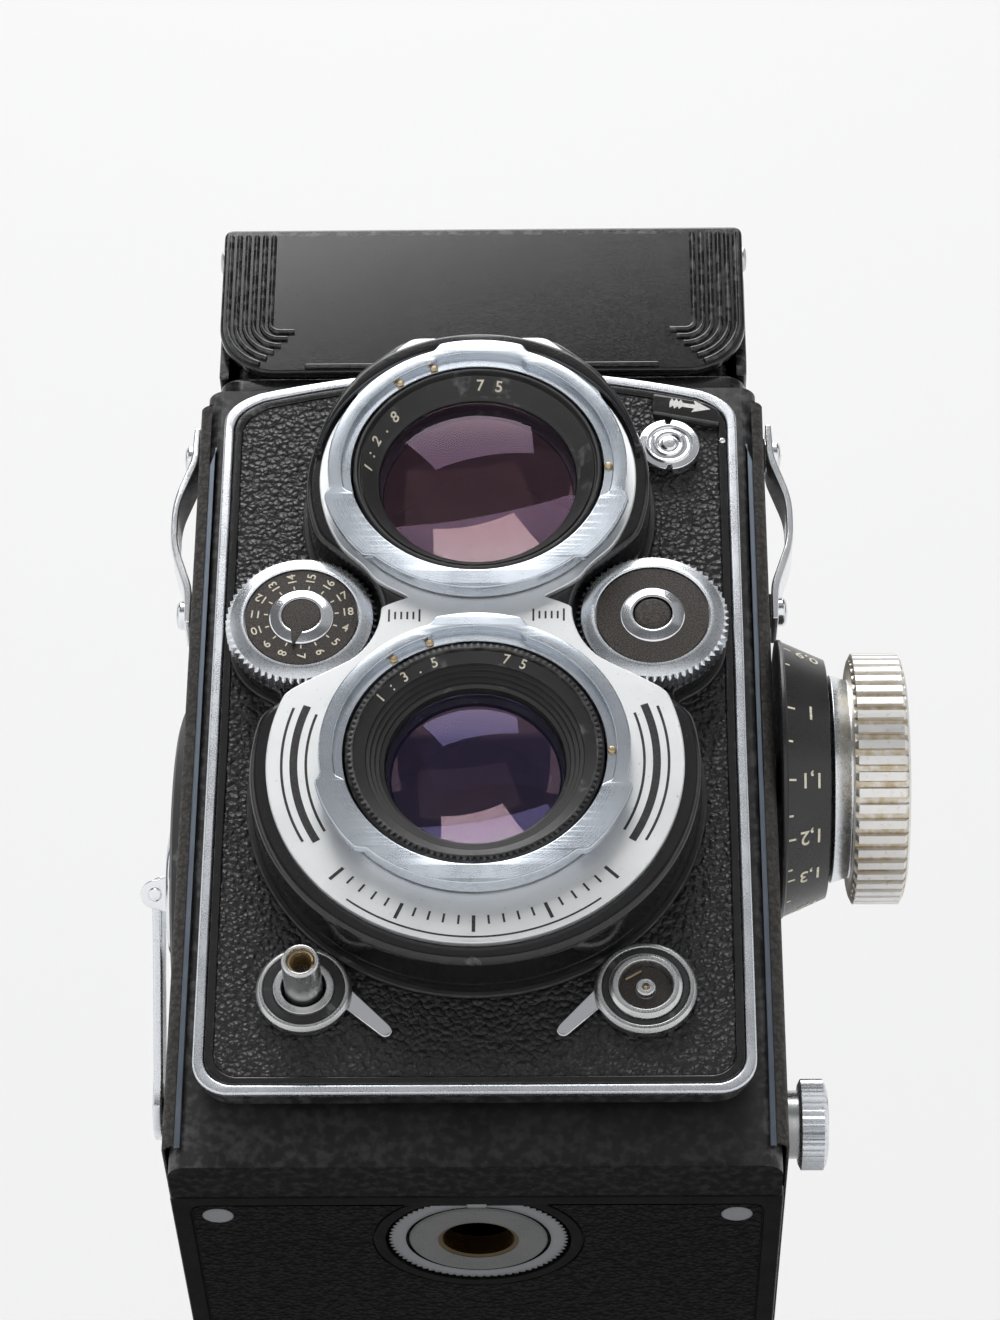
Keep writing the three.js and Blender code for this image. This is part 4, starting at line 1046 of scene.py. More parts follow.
def arrow_plate():
    s = Span("arrow_plate")
    edge = [(22.4, 107.9), (22.2, 104.9), (30.9, 103), (30.9, 105.2), (29, 106.4)]
    plate = slab("corner_plate", "y", rounded(edge, 0.5), s.y0 + 0.1, s.y1, 0.2)
    dress(plate, "front", GLOSS_BLACK, "black_paint", "arrow_plate")
    ridge = [(22.4, 105.0), (22.3, 104.45), (30.7, 102.6), (30.9, 103.1)]
    dress(slab("corner_ridge", "y", rounded(ridge, 0.15), s.y0, s.y1, 0.12), "front", SATIN_BLACK,
          "black_paint")
    shape = [(0, 0.22), (0.15, 0.78), (0.5, 0.35), (0.75, 0.8), (1.1, 0.35), (1.35, 0.75),
             (1.7, 0.3), (3.3, 0.3), (3.0, 0.95), (5.35, 0)]
    points = shape + [(u, -v) for u, v in reversed(shape[:-1])]
    a = math.radians(-12)
    arrow = [(24.55 + u * math.cos(a) - v * math.sin(a), 106.3 + u * math.sin(a) + v * math.cos(a))
             for u, v in points]
    dress(strokes("white_arrow", "y", [arrow], s.y0 + 0.04, s.y0 + 0.15), "front", WHITE_INK,
          "dial_black")


# ---------------------------------------------------------------- focusing knob

GRIP = Span("focus_grip")
DISTANCES = (("0,9", 39), ("1", -1), ("1,1", -32), ("1,2", -57.5), ("1,3", -78.6), ("1,5", -110.7),
             ("2", -161), ("3", 151), ("5", 114.5), ("10", 88))


def focus_knob():
    s = Span("focus_scale")
    g = GRIP
    base, shoulder = s.z1 - s.z, 15.1
    x0, x1 = s.x1 - 6.2, s.x1
    cone = [(0, s.x0), (3, s.x0), (3, x0), (base - 0.2, x0), (base, x0 + 0.2), (base, x0 + 0.6),
            (base - 0.25, x0 + 0.75), (shoulder + 0.1, x1 - 0.1), (shoulder - 0.3, x1), (0, x1)]
    dress(turned("distance_cone", "x", cone, g.y, g.z, 160, 0.06), "focus_knob", KNOB_BLACK,
          "black_paint", "focus_scale")
    slope = (base - 0.25 - shoulder) / (x1 - x0 - 0.75)
    marks, ticks = [], bmesh.new()
    for text, angle in DISTANCES:
        a = math.radians(angle)
        out = Vector((0, -math.cos(a), math.sin(a)))
        along = Vector((0, -math.sin(a), -math.cos(a)))
        tilt = Vector((-1, 0, 0)) + out * slope
        x = x0 + 3.75
        radius = base - 0.25 - slope * (x - x0 - 0.75) + 0.01
        point = Vector((x, g.y, g.z)) + out * radius
        marks.append((text, 1.95, frame_at(point, tilt, along)))
        for step in (0, 1):
            b = math.radians(angle - 15 * step)
            face = Vector((0, -math.cos(b), math.sin(b)))
            side = Vector((0, math.sin(b), math.cos(b))) * 0.13
            near, far = x0 + 0.85, x0 + (1.75 if step == 0 else 1.4)
            corners = []
            for place_x in (near, far):
                reach = base - 0.25 - slope * (place_x - x0 - 0.75)
                middle = Vector((place_x, g.y, g.z))
                for lift in (-0.06, 0.05):
                    for hand in (-1, 1):
                        corner = middle + face * (reach + lift) + side * hand
                        corners.append(ticks.verts.new(corner * MM))
            for quad in ((0, 1, 3, 2), (4, 5, 7, 6), (0, 1, 5, 4), (2, 3, 7, 6), (0, 2, 6, 4),
                         (1, 3, 7, 5)):
                ticks.faces.new([corners[i] for i in quad])
    dress(numerals("distance_figures", marks, 0.06), "focus_knob", CREAM, "dial_black")
    dress(new_object("distance_ticks", ticks), "focus_knob", CREAM, "dial_black")

    neck_end = g.x0 + 3.0
    neck = [(0, g.x0), (12.7, g.x0), (13.3, g.x0 + 0.3), (12.6, neck_end - 0.6), (12.8, neck_end),
            (0, neck_end)]
    dress(turned("grip_neck", "x", neck, g.y, g.z, 128, 0.12), "focus_knob", RING_CHROME,
          "satin_chrome")
    x0, x1 = g.x0 + 2.6, g.x1 - 0.5
    r = g.z1 - g.z
    teeth = gear_outline(g.y, g.z, r - 0.75, r, 49, ((0, 0), (0.34, 0), (0.38, 0.15), (0.42, 1),
                                                     (0.68, 1.0),
                                                    (0.94, 1), (0.98, 0.15)))
    count = len(teeth)
    small = circle(g.y, g.z, r - 1.25, count)
    shoulder_in = circle(g.y, g.z, r - 0.78, count)
    layers = [(small, x0), (shoulder_in, x0 + 0.12), (teeth, x0 + 0.5), (teeth, x1 - 0.55),
              (shoulder_in, x1 - 0.1), (small, x1)]
    bm = bmesh.new()
    pile(bm, "x", layers)
    grip_look = grip_silver()
    dress(new_object("toothed_grip", bm, 30), "focus_knob", grip_look, "satin_chrome", "focus_grip")
    cap = [(0, x1 - 0.3), (14.6, x1 - 0.3), (14.5, x1 + 0.1), (13.9, x1 + 0.3), (13.3, x1 + 0.1),
           (12.9, x1 + 0.1), (12.4, x1 + 0.42), (6.2, x1 + 0.3), (5.9, x1 + 0.05), (5.5, x1 + 0.05),
           (5.2, x1 + 0.3), (0, x1 + 0.45)]
    dress(turned("grip_end_disc", "x", cap, g.y, g.z, 128, 0.12), "focus_knob", SATIN_CHROME,
          "satin_chrome")


# ---------------------------------------------------------------- body sides

CASTING = Span("body_casting")


def side_leathers():
    """Leather that covers each side and turns round the front shoulder."""
    for side, node in ((-1, "left_side_leather"), (1, "right_side_leather")):
        s = Span(node)
        outer = max(abs(s.x0), abs(s.x1))
        thick = 0.5
        front = CASTING.y0 - 0.35
        radius = 1.5
        skin = [(outer, s.y1), *arc(outer - radius, front + radius, radius, 0, -90, 8),
                (35.55, front)]
        lining = [(35.55, front + thick * 0.6),
                  *arc(outer - radius, front + radius, radius - thick * 0.75, -90, 0, 8)]
        points = [(side * x, y) for x, y in [*skin, *lining, (outer - thick + 0.1, s.y1)]]
        sheet = slab(f"{node}_sheet", "z", points, s.z0, s.z1, 0.14, (), 2)
        for v in sheet.data.vertices:
            lead = max(0, (-28 * MM - v.co.y) / (6 * MM))
            if v.co.z > (s.z1 - 1) * MM and lead > 0:
                v.co.z -= ease(lead) * 1.6 * MM
        dress(sheet, "body", SIDE_LEATHER, "leatherette", node)
        strip = [(34.55, 2.4), (35.35, 2.4), (35.35, 101.2), (34.55, 104.2)]
        points = rounded([(side * x, z) for x, z in strip], 0.2)
        edge = slab("left_edge_strip" if side < 0 else "right_edge_strip", "y", points,
                    CASTING.y0 - 0.5, CASTING.y0 + 0.02, 0.16)
        dress(edge, "body", EDGE_ALLOY, "alloy")


def strap_lugs():
    for side, node in ((-1, "left_strap_lug"), (1, "right_strap_lug")):
        s = Span(node)
        base = min(abs(s.x0), abs(s.x1))
        low, high = s.z0 + 3, s.z1 - 3
        strip = [(0.3, low - 3), (1.1, low - 3), (1.3, low + 2), (3.5, low + 9), (3.5, high - 9),
                 (1.3, high - 2), (1.1, high + 3), (0.3, high + 3), (0.3, high - 2.4),
                 (2.6, high - 9.4), (2.6, low + 9.4), (0.3, low + 2.4)]
        points = rounded([(side * (base + out), z) for out, z in strip],
                         [0.2, 0.2, 1.5, 2.5, 2.5, 1.5, 0.2, 0.2, 1.2, 2, 2, 1.2], steps=5)
        strap = slab(f"{node}_strip", "y", points, s.y0, s.y1, 0.2)
        studs = []
        for z in (low, high):
            dome = [(0, base), (2.3, base), (2.4, base + 0.5), (1.9, base + 1.1), (1.9, base + 1.9),
                    (1.5, base + 2.3), (0, base + 2.5)]
            dome = [(r, side * x) for r, x in dome]
            studs.append(turned("stud", "x", dome, s.y, z, 48, 0.2))
        dress(joined(f"{node}_loop", [strap, *studs]), "body", CHROME, "chrome", node)


def spool_knobs():
    for node in ("upper_spool_knob", "lower_spool_knob"):
        s = Span(node)
        r = s.z1 - s.z
        x0, x1 = s.x1 - 5.6, s.x1
        shaft = [(0, s.x0), (1.75, s.x0), (1.75, x0), (4.2, x0), (4.2, x0 + 2), (0, x0 + 2)]
        dress(turned(f"{node}_shaft", "x", shaft, s.y, s.z, 64, 0.1), node, STEEL, "satin_chrome",
              node)
        knurled(f"{node}_grip", "x", s.y, s.z, r, 0.35, 36, x0 + 1.9, x1 - 0.3, 0.35, node,
                RING_CHROME, "satin_chrome")
        cap = [(0, x1 - 0.4), (r - 1.1, x1 - 0.4), (r - 1.3, x1 - 0.1), (r - 2, x1), (0, x1 - 0.15)]
        dress(turned(f"{node}_cap", "x", cap, s.y, s.z, 64, 0.1), node, CHROME, "satin_chrome")


# ---------------------------------------------------------------- crank

CRANK = Span("crank_boss")
CRANK_REACH = 28
LEAN = math.radians(33)


def leaned(piece):
    """Turns a piece drawn below the crank's axis to where the arm is stored."""
    centre = Vector((0, CRANK.y, CRANK.z)) * MM
    turn = Matrix.Translation(centre) @ Matrix.Rotation(LEAN, 4, "X") @ Matrix.Translation(-centre)
    piece.data.transform(turn)
    return piece


def crank():
    boss = CRANK
    base, face = boss.x1, boss.x0
    r = boss.z1 - boss.z
    profile = [(3.5, base), (r, base), (r, base - 0.5), (r - 1.1, face + 0.5),
               (r - 2.4, face + 0.1),
               (r - 3.2, face + 0.1), (r - 3.5, face + 0.5), (r - 4.3, face + 0.5),
               (r - 4.6, face + 0.1), (12.5, face + 0.05), (12.2, face + 0.35), (3.5, face + 0.35)]
    dress(turned("crank_side_cover", "x", profile, boss.y, boss.z, 160, 0.15), "body", SATIN_BLACK,
          "black_paint", "crank_boss")
    hub = Span("crank_hub")
    pin_x = (Span("crank_arm").x0 + Span("crank_arm").x1) / 2
    hub_face = face - 1.8
    stack = [(0, hub.x1), (3, hub.x1), (3, face - 0.25), (8.6, face - 0.25), (8.6, hub_face + 0.45),
             (8.2, hub_face), (6.9, hub_face - 0.05), (6.7, hub_face + 0.25), (0, hub_face + 0.25)]
    parts = [turned("hub", "x", stack, boss.y, boss.z, 96, 0.1)]
    for y in (-4.9, 4.9):
        ear = [(hub_face + 0.5, boss.z - 2.6), (pin_x + 0.3, boss.z - 1.9),
               *arc(pin_x, boss.z, 1.9, 270, 90, 14),
               (pin_x + 0.3, boss.z + 1.9), (hub_face + 0.5, boss.z + 2.6)]
        parts.append(slab("ear", "y", ear, boss.y + y - 0.6, boss.y + y + 0.6, 0.15))
    parts.append(turned("pin", "y", [(0, boss.y - 5.8), (0.75, boss.y - 5.8), (0.95, boss.y - 5.5),
                                     (0.6, boss.y - 5.4), (0.6, boss.y + 5.4), (0.95, boss.y + 5.5),
                                     (0.75, boss.y + 5.8), (0, boss.y + 5.8)], pin_x, boss.z, 24,
                                     0.05))
    dress(leaned(joined("crank_hub_plate", parts)), "crank_hub", CHROME, "chrome", "crank_hub")

    end = boss.z - CRANK_REACH
    half = 3.55
    shape = [(boss.y - half, boss.z + 1.2), (boss.y - half * 0.75, boss.z - 10),
             (boss.y - half * 0.8, end + 4),
             *arc(boss.y, end, 4.5, 172, 368, 28), (boss.y + half * 0.8, end + 4),
             (boss.y + half * 0.75, boss.z - 10), (boss.y + half, boss.z + 1.2)]
    rivet = circle(boss.y, end, 1.2, 32)
    arm = slab("arm", "x", shape, pin_x - 0.62, pin_x + 0.62, 0.3, [rivet], 4)
    knuckle = turned("knuckle", "y", [(0.8, boss.y - 3.4), (1.35, boss.y - 3.4),
                                      (1.35, boss.y + 3.4),
                                      (0.8, boss.y + 3.4)], pin_x, boss.z, 32, 0.08)
    dress(leaned(joined("crank_arm_plate", [arm, knuckle])), "crank_arm", RING_CHROME, "chrome",
          "crank_arm")
    handle = Span("crank_handle")
    inner, outer = handle.x1, handle.x0
    grip = [(0, outer - 1.8), (1.1, outer - 1.8), (1.15, outer - 0.05), (2.9, outer - 0.05),
            (3.55, outer + 0.6), (3.3, outer + 2.1), (3.6, inner - 0.8), (2.8, inner), (0, inner)]
    dress(leaned(turned("crank_grip", "x", grip, boss.y, end, 64, 0.15)), "crank_arm", KNOB_BLACK,
          "black_paint", "crank_handle")


# ---------------------------------------------------------------- finder hood


def hood_base():
    s = Span("hood_base")
    plate = slab("plate", "z", box_outline(s.x0, s.x1, s.y0, s.y1, 3.5), s.z0, s.z0 + 3.3, 0.7,
                 [box_outline(-27.4, 27.4, -23.4, 31.4, 1)], 5)
    wall = slab("wall", "z", box_outline(s.x0 + 2.4, s.x1 - 2.4, s.y0 + 1, s.y1 - 1.8, 2), s.z0 + 3,
                s.z1, 0.3, [box_outline(s.x0 + 3.8, s.x1 - 3.8, s.y0 + 2.2, s.y1 - 3, 1.2)])
    dress(joined("hood_base_frame", [plate, wall]), "body", GLOSS_BLACK, "black_paint", "hood_base")


def hood_apron():
    """The fixed front of the hood, with ribs that turn each lower corner."""
    s = Span("hood_apron")
    radius, ribs, pitch = 8, 6, 1.15
    shape = [*arc(s.x0 + radius, s.z0 + radius, radius, 180, 270, 16),
             *arc(s.x1 - radius, s.z0 + radius, radius, -90, 0, 16),
             *rounded([(s.x1, s.z1 - 3), (s.x1, s.z1), (s.x0, s.z1), (s.x0, s.z1 - 3)],
                      [0, 1.5, 1.5, 0], steps=5)]
    dress(slab("apron_plate", "y", shape, s.y0, s.y1, 0.45, (), 5), "body", GLOSS_BLACK,
          "black_paint", "hood_apron")
    bm = bmesh.new()
    face = s.y0 + 0.08
    centre = Vector((s.x1 - radius, s.z0 + radius))
    for side in (-1, 1):
        for i in range(ribs):
            turn = radius - 1.0 - pitch * i
            start = 29.5 - 0.9 * i
            along = start - centre.x
            flat = [] if along > 0 else [(start, centre.y - turn)]
            first = -math.degrees(math.acos(along / turn)) if along > 0 else -90
            bend = arc(centre.x, centre.y, turn, first, 0, 14)
            line = [*flat, *bend, (centre.x + turn, s.z1 - 1.4)]
            points = [Vector((side * x, face, z)) * MM for x, z in line]
            bar_along(bm, points, Vector((0, -1, 0)), 0.42, 0.62)
    dress(new_object("apron_ribs", bm, 60), "body", GLOSS_BLACK, "black_paint")
    lip = box_outline(-23.5, 23.5, s.z0 + 0.5, s.z0 + 1.3, 0.35)
    dress(slab("apron_lip", "y", lip, s.y0 - 0.35, s.y0 + 0.1, 0.17), "body", GLOSS_BLACK,
          "black_paint")


def hood_lid():
    s = Span("hood_lid")
    wall = 1.2
    top = s.z1 - 0.15
    skirt = [(s.x0, s.y0), (s.x0, s.y1), (s.x1, s.y1), (s.x1, s.y0), (s.x1 - wall, s.y0),
             (s.x1 - wall, s.y1 - wall), (s.x0 + wall, s.y1 - wall), (s.x0 + wall, s.y0)]
    skirt = rounded(skirt, [0, 2.2, 2.2, 0, 0, 1.2, 1.2, 0], steps=6)
    walls = slab("walls", "z", skirt, s.z0, top - 0.6, 0.25)
    roof = slab("roof", "z", box_outline(s.x0, s.x1, s.y0, s.y1, [0.4, 0.4, 2.2, 2.2]), top - 1.2,
                top, 0.55, (), 5)
    parts = [walls, roof]
    magnifier = Span("magnifier_frame")
    for side in (-1, 1):
        x = side * (magnifier.x1 + 1)
        ear = box_outline(magnifier.y0 - 0.9, magnifier.y0 + 2.9, magnifier.z0 - 0.2, top - 0.9,
                          0.5)
        parts.append(slab("ear", "x", ear, x - 0.6, x + 0.6, 0.12))
    dress(joined("hood_lid_cover", parts), "hood_lid", GLOSS_BLACK, "black_paint", "hood_lid")
    inlay = box_outline(s.x0 + 4, s.x1 - 4, s.y0 + 4.5, s.y1 - 4, 2.5)
    dress(slab("hood_lid_leather", "z", inlay, top - 0.2, s.z1, 0.14), "hood_lid", FRONT_LEATHER,
          "leatherette")
    bm = bmesh.new()
    for side in (-1, 1):
        face = side * (s.x1 - 0.06)
        for inset in (3.2, 4.6):
            frame_points = box_outline(s.y0 + inset, s.y1 - inset, s.z0 + inset, top - inset, 2.4)
            points = [Vector((face, y, z)) * MM for y, z in [*frame_points, frame_points[0]]]
            bar_along(bm, points, Vector((side, 0, 0)), 0.35, 0.4)
    dress(new_object("hood_lid_beads", bm, 60), "hood_lid", GLOSS_BLACK, "black_paint")
    for side in (-1, 1):
        edge = side * s.x1
        cap = [(0, edge - side * 0.5), (1.7, edge - side * 0.5), (1.7, edge + side * 0.35),
               (1.3, edge + side * 0.65), (0, edge + side * 0.75)]
        label = "left" if side < 0 else "right"
        dress(turned(f"{label}_hood_pivot", "x", cap, s.y0 + 1.6, top - 2.2, 40, 0.12), "hood_lid",
              STEEL, "chrome")


def focusing_screen():
    """A grid of thin lines on the ground glass, those across just above those along."""
    s = Span("ground_glass")
    pitch, half, margin = 9.3, 0.06, 1.5
    offsets = [i * pitch for i in range(-2, 3)]
    bm = bmesh.new()
    for at in offsets:
        points = oblong(at - half, at + half, s.y0 + margin, s.y1 - margin)
        pile(bm, "z", [(points, s.z1 - 0.02), (points, s.z1 + 0.02)])
    for at in offsets:
        points = oblong(s.x0 + margin, s.x1 - margin, s.y + at - half, s.y + at + half)
        pile(bm, "z", [(points, s.z1 + 0.025), (points, s.z1 + 0.05)])
    dress(new_object("screen_grid", bm), "body", BLACK_INK, "dial_black")


def magnifier():
    s = Span("magnifier_frame")
    rim = Span("magnifier_lens")
    r = rim.x1
    plate = slab("plate", "z", box_outline(s.x0, s.x1, s.y0, s.y1, 4), rim.z - 0.55, rim.z + 0.65,
                 0.2, [circle(0, rim.y, r + 0.2)])
    collar = turned("collar", "z", [(r + 0.25, s.z0), (r + 1.2, s.z0), (r + 1.4, s.z0 + 0.3),
                                    (r + 1.4, s.z1 - 0.3), (r + 1.2, s.z1), (r + 0.25, s.z1)], 0,
                                    rim.y, 96, 0.1)
    dress(joined("magnifier_plate", [plate, collar]), "magnifier", SATIN_BLACK, "satin_chrome",
          "magnifier_frame")


# ---------------------------------------------------------------- back and underside


def back():
    s = Span("back_door")
    wall_in, wall_out = 39.3, 41.7
    top, flap_top = 105, 1.8
    socket = Span("tripod_bush")
    x0, x1 = s.x0, s.x1
    wall = slab("wall", "y", box_outline(x0, x1, s.z0, top, 1.2), wall_in, wall_out, 0.55, (), 4)
    flap = slab("flap", "z", box_outline(x0, x1, s.y0, wall_in + 1, 0.8), 0.35, flap_top, 0.3,
                [circle(socket.x, socket.y, 11.3)])
    rim = slab("rim", "z", box_outline(x0, x1, s.y0, wall_in + 1, 0.8), s.z0, 0.7, 0.25,
               [box_outline(x0 + 2.2, x1 - 2.2, s.y0 + 2.2, wall_in - 2.2, 2)])
    roof = turned("roof", "z", oblong(4.8, 11.9, 1.5, 2.9), socket.x, socket.y, 96, 0.1)
    ring = turned("ring", "z", oblong(11.25, 12.6, 0.05, 1), socket.x, socket.y, 96, 0.12)
    parts = [wall, flap, rim, roof, ring]
    axis_y, axis_z = s.y1 - 1.7, s.z1 - 1.7
    for start in (-20, 10):
        parts.append(turned("knuckle", "x", [(1.1, start), (1.7, start), (1.7, start + 10),
                                             (1.1, start + 10)],
                            axis_y, axis_z, 40, 0.1))
        leaf = box_outline(start, start + 10, top - 1.5, axis_z - 0.9, 0.2)
        parts.append(slab("leaf", "y", leaf, wall_in + 0.5, wall_out - 0.3, 0.1))
    dress(joined("back_cover", parts), "back_door", SATIN_BLACK, "black_paint", "back_door")
    panel = box_outline(x0 + 2.2, x1 - 2.2, 5, top - 4, 2.5)
    dress(slab("back_leather", "y", panel, wall_out - 0.1, wall_out + 0.4, 0.2), "back_door",
          FRONT_LEATHER, "leatherette")
    base = box_outline(x0 + 2.4, x1 - 2.4, s.y0 + 2.4, wall_in - 2.4, 1.8)
    dress(slab("base_leather", "z", base, 0.08, 0.5, 0.12, [circle(socket.x, socket.y, 12.8)]),
          "back_door", FRONT_LEATHER, "leatherette")
    foot = [(0, 0.5), (2.0, 0.5), (2.0, 0.12), (1.6, 0.0), (0, 0.0)]
    for i, (x, y) in enumerate(((-31, -21), (31, -21), (-31, 32), (31, 32))):
        dress(turned(f"base_stud_{i}", "z", foot, x, y, 40, 0.12), "back_door", CHROME,
              "satin_chrome")

    bush = [(4.85, 0.05), (8.2, 0.05), (8.4, 0.25), (8.4, 1.4), (4.85, 1.4)]
    dress(turned("tripod_bush_ring", "z", bush, socket.x, socket.y, 96, 0.1), "back_door", STEEL,
          "satin_chrome", "tripod_bush")
    threads = []
    for level in (0.15, 0.5, 0.85, 1.2, 1.55, 1.9, 2.25, 2.55):
        ridge = [(4.35, level + 0.16), (4.86, level), (4.86, level + 0.32)]
        threads.append(turned("thread", "z", ridge, socket.x, socket.y, 64, 0.02))
    dress(joined("tripod_threads", threads), "back_door", BRASS, "brass")
    latch = Span("latch_ring")
    flutes = gear_outline(latch.x, latch.y, 10.4, 10.9, 72)
    ring = slab("latch_knurl", "z", flutes, latch.z0, latch.z1, 0.1,
                [circle(latch.x, latch.y, 8.75)], 2)
    tab = slab("tab", "z", box_outline(-1.2, 1.2, latch.y - 10.6, latch.y - 8.9, 0.3),
               latch.z0 - 0.15, latch.z0 + 0.3, 0.1)
    dress(joined("latch_ring_knurled", [ring, tab]), "latch_ring", CHROME, "satin_chrome",
          "latch_ring")


# ---------------------------------------------------------------- carried-over nodes


def frosted_glass():
    f = Finish("frosted_glass", Transmission_Weight=0.75, IOR=1.5)
    grain = f.noise(0.12, 3)
    tone = f.mix(f.noise(6, 3), (0.80, 0.83, 0.80), (0.92, 0.94, 0.92))
    return f.done(tone, f.fit(grain, 0.3, 0.7, 0.35, 0.55), f.bump(grain, 0.01))


def clear_glass():
    f = Finish("clear_glass", Transmission_Weight=1.0, IOR=1.5)
    haze = f.noise(4, 3)
    tone = f.mix(f.fit(f.noise(0.3, 2), 0.7, 0.8, 0.0, 0.2), (0.97, 0.98, 0.97), (0.8, 0.8, 0.78))
    return f.done(tone, f.fit(haze, 0.3, 0.8, 0.0, 0.03), f.bump(haze, 0.0005))


def carried_over():
    # The rear elements' colours are painted shade and painted coating reflection too.
    deep_glass = coated_glass("rear_element_glass", (0.02, 0.018, 0.03), (0.03, 0.025, 0.04),
                              (0.45, 0.35, 0.75), TAKING_Z)
    looks = {
        "body_casting": SATIN_BLACK, "light_cone": MATT_BLACK, "film_gate": STEEL,
        "mirror_cradle": MATT_BLACK, "mirror": SILVERING, "ground_glass": frosted_glass(),
        "front_panel": SATIN_BLACK, "viewing_rear_lens": deep_glass, "taking_rear_lens": deep_glass,
        "shutter_body": ALLOY, "iris_blades": DARK_STEEL, "take_up_spool": KNOB_BLACK,
        "film_roller": CHROME, "pressure_plate": SATIN_BLACK, "pressure_spring": STEEL,
        "magnifier_lens": clear_glass(), "left_hood_flap": SATIN_BLACK,
        "right_hood_flap": SATIN_BLACK,
        "rear_hood_flap": SATIN_BLACK,
    }
    for name, look in looks.items():
        mesh = NODES[name].data
        if not mesh.materials:
            mesh.materials.append(look)
        for slot in NODES[name].material_slots:
            slot.material = look


# ---------------------------------------------------------------- stage, light and camera


def one_sided(name, tone, glow_level):
    """A pale matt surface that is only there when seen from its front."""
    material = bpy.data.materials.new(name)
    material.use_nodes = True
    tree = material.node_tree
    tree.nodes.clear()
    output = tree.nodes.new("ShaderNodeOutputMaterial")
    blend = tree.nodes.new("ShaderNodeMixShader")
    front = tree.nodes.new("ShaderNodeAddShader")
    lit = tree.nodes.new("ShaderNodeBsdfDiffuse")
    glow = tree.nodes.new("ShaderNodeEmission")
    glow.inputs["Strength"].default_value = glow_level
    lit.inputs["Color"].default_value = (*tone, 1)
    tree.links.new(lit.outputs[0], front.inputs[0])
    tree.links.new(glow.outputs[0], front.inputs[1])
    back_side = tree.nodes.new("ShaderNodeBsdfTransparent")
    facing = tree.nodes.new("ShaderNodeNewGeometry")
    tree.links.new(facing.outputs["Backfacing"], blend.inputs["Fac"])
    tree.links.new(front.outputs[0], blend.inputs[1])
    tree.links.new(back_side.outputs[0], blend.inputs[2])
    tree.links.new(blend.outputs[0], output.inputs["Surface"])
    return material


def stage_sheet(name, middle, normal, half, tone, glow_level):
    normal = Vector(normal)
    turn = normal.to_track_quat("Z", "Y").to_matrix()
    corners = [Vector(middle) + turn @ Vector((x * half, y * half, 0))
               for x, y in ((-1, -1), (1, -1), (1, 1), (-1, 1))]
    mesh = bpy.data.meshes.new(name)
    mesh.from_pydata(corners, [], [(0, 1, 2, 3)])
    sheet = bpy.data.objects.new(name, mesh)
    bpy.context.scene.collection.objects.link(sheet)
    mesh.materials.append(one_sided(name, tone, glow_level))


def softbox(name, spot, target, width, height, watts, spin=0.0):
    light = bpy.data.lights.new(name, "AREA")
    light.shape = "RECTANGLE"
    light.size = width
    light.size_y = height
    light.energy = watts
    lamp = bpy.data.objects.new(name, light)
    bpy.context.scene.collection.objects.link(lamp)
    aim = (Vector(target) - Vector(spot)).to_track_quat("-Z", "Y").to_matrix().to_4x4()
    lamp.matrix_world = Matrix.Translation(spot) @ aim @ Matrix.Rotation(math.radians(spin), 4, "Z")


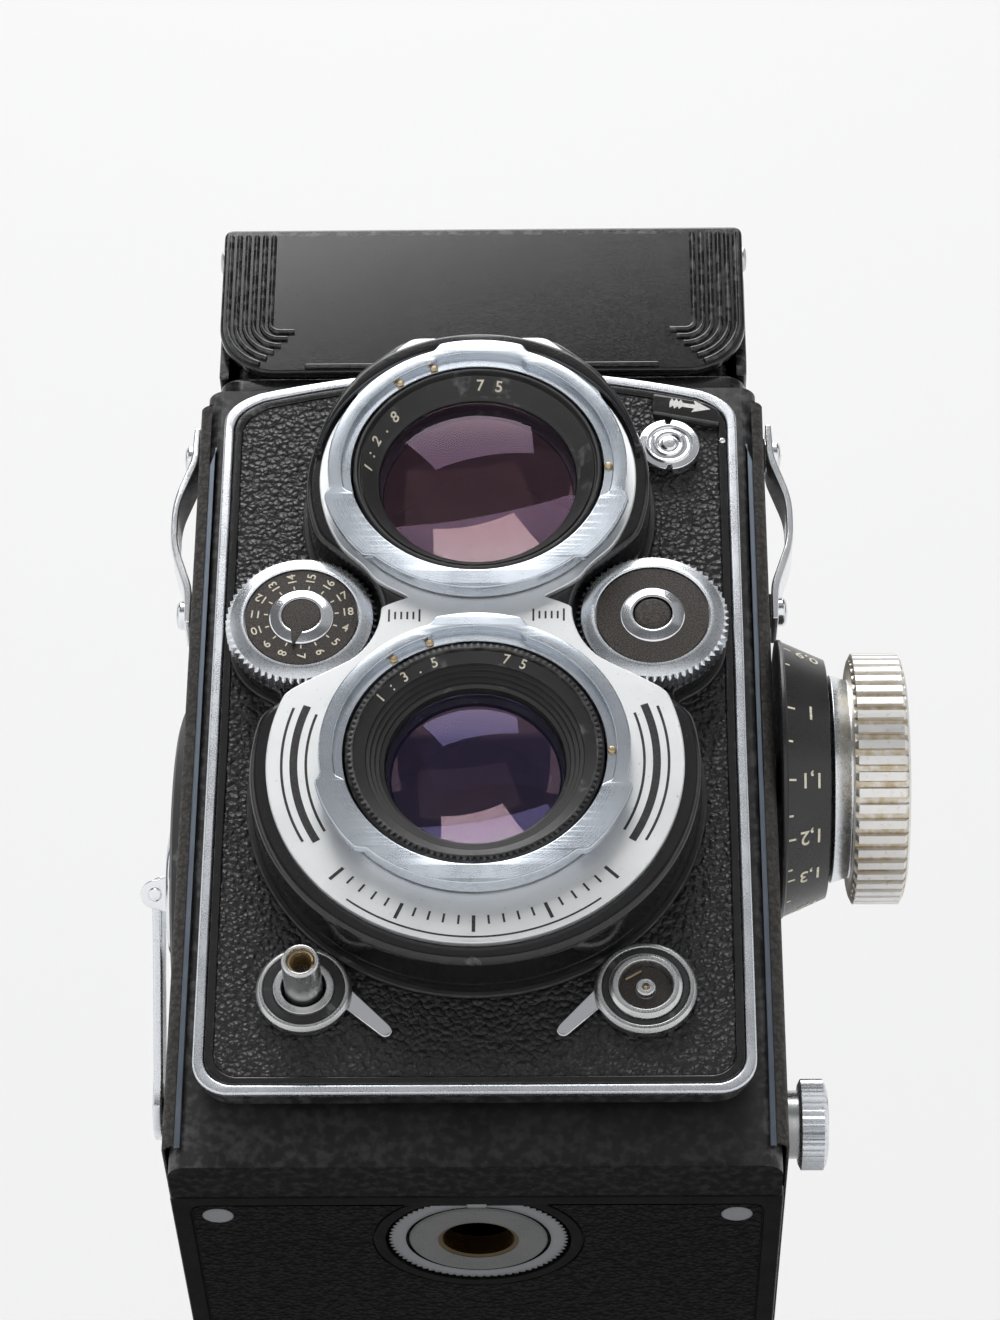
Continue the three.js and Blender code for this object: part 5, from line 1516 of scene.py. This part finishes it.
def studio():
    stage_sheet("pale_floor", (0, 0, 0), (0, 0, 1), 2.5, (0.80, 0.80, 0.80), 0.1)
    stage_sheet("pale_backdrop", (0, 0.24, 0), (0, -1, 0), 3.0, (0.25, 0.25, 0.25), 0.66)
    world = bpy.data.worlds.new("pale_room")
    world.use_nodes = True
    tree = world.node_tree
    seen = tree.nodes.new("ShaderNodeLightPath").outputs["Is Camera Ray"]
    level = tree.nodes.new("ShaderNodeMapRange")
    tree.links.new(seen, level.inputs["Value"])
    level.inputs["To Min"].default_value = 0.15
    level.inputs["To Max"].default_value = 0.82
    background = tree.nodes["Background"]
    background.inputs["Color"].default_value = (0.93, 0.96, 1.0, 1)
    tree.links.new(level.outputs["Result"], background.inputs["Strength"])
    bpy.context.scene.world = world
    lens_spot = (0, -0.05, 0.07)
    softbox("key_box", (-0.06, -0.32, 0.65), lens_spot, 0.38, 0.48, 2.6, 27)
    softbox("front_box", (0.05, -0.64, 0.46), lens_spot, 0.70, 0.42, 0.22, 8)
    softbox("left_box", (-0.62, -0.30, 0.20), lens_spot, 0.40, 0.60, 0.75)
    softbox("right_box", (0.64, -0.30, 0.20), lens_spot, 0.40, 0.60, 0.6)
    softbox("low_box", (0.05, -0.42, -0.62), (0, 0, 0.05), 0.8, 0.3, 1.1)
    softbox("top_box", (0.0, -0.05, 0.85), (0, 0, 0.07), 0.5, 0.35, 1.6)
    softbox("rear_box", (0.15, 0.75, 0.55), (0, 0, 0.07), 0.7, 0.5, 1.6)
    bpy.context.scene.view_settings.view_transform = "Standard"


VIEW = {"eye": (0.0119, -0.4712, -0.2172), "elevation": 33.374, "yaw": 1.215, "roll": 0.321,
        "lens": 113.17}


def camera():
    """Looks up at the front from below, almost square on."""
    e, yaw, roll = (math.radians(VIEW[k]) for k in ("elevation", "yaw", "roll"))
    turn = Matrix.Rotation(yaw, 3, "Z")
    forward = turn @ Vector((0, math.cos(e), math.sin(e)))
    right = turn @ Vector((1, 0, 0))
    up = turn @ Vector((0, -math.sin(e), math.cos(e)))
    across = right * math.cos(roll) + up * math.sin(roll)
    over = up * math.cos(roll) - right * math.sin(roll)
    data = bpy.data.cameras.new("view")
    data.lens = VIEW["lens"]
    data.sensor_fit = "VERTICAL"
    data.sensor_height = 36
    data.sensor_width = 36
    data.clip_start = 0.01
    eye = bpy.data.objects.new("view", data)
    bpy.context.scene.collection.objects.link(eye)
    basis = Matrix((across, over, -forward)).transposed().to_4x4()
    eye.matrix_world = Matrix.Translation(VIEW["eye"]) @ basis
    bpy.context.scene.camera = eye


# ---------------------------------------------------------------- putting it together

for build in (camera, studio, carried_over, front_panel, shutter_housing, lenses, aperture_dial,
              speed_dial, release, flash_socket, catches, cover_disc, arrow_plate, focus_knob,
              side_leathers, strap_lugs, spool_knobs, crank, hood_base, hood_apron, hood_lid,
              focusing_screen, magnifier, back):
    build()
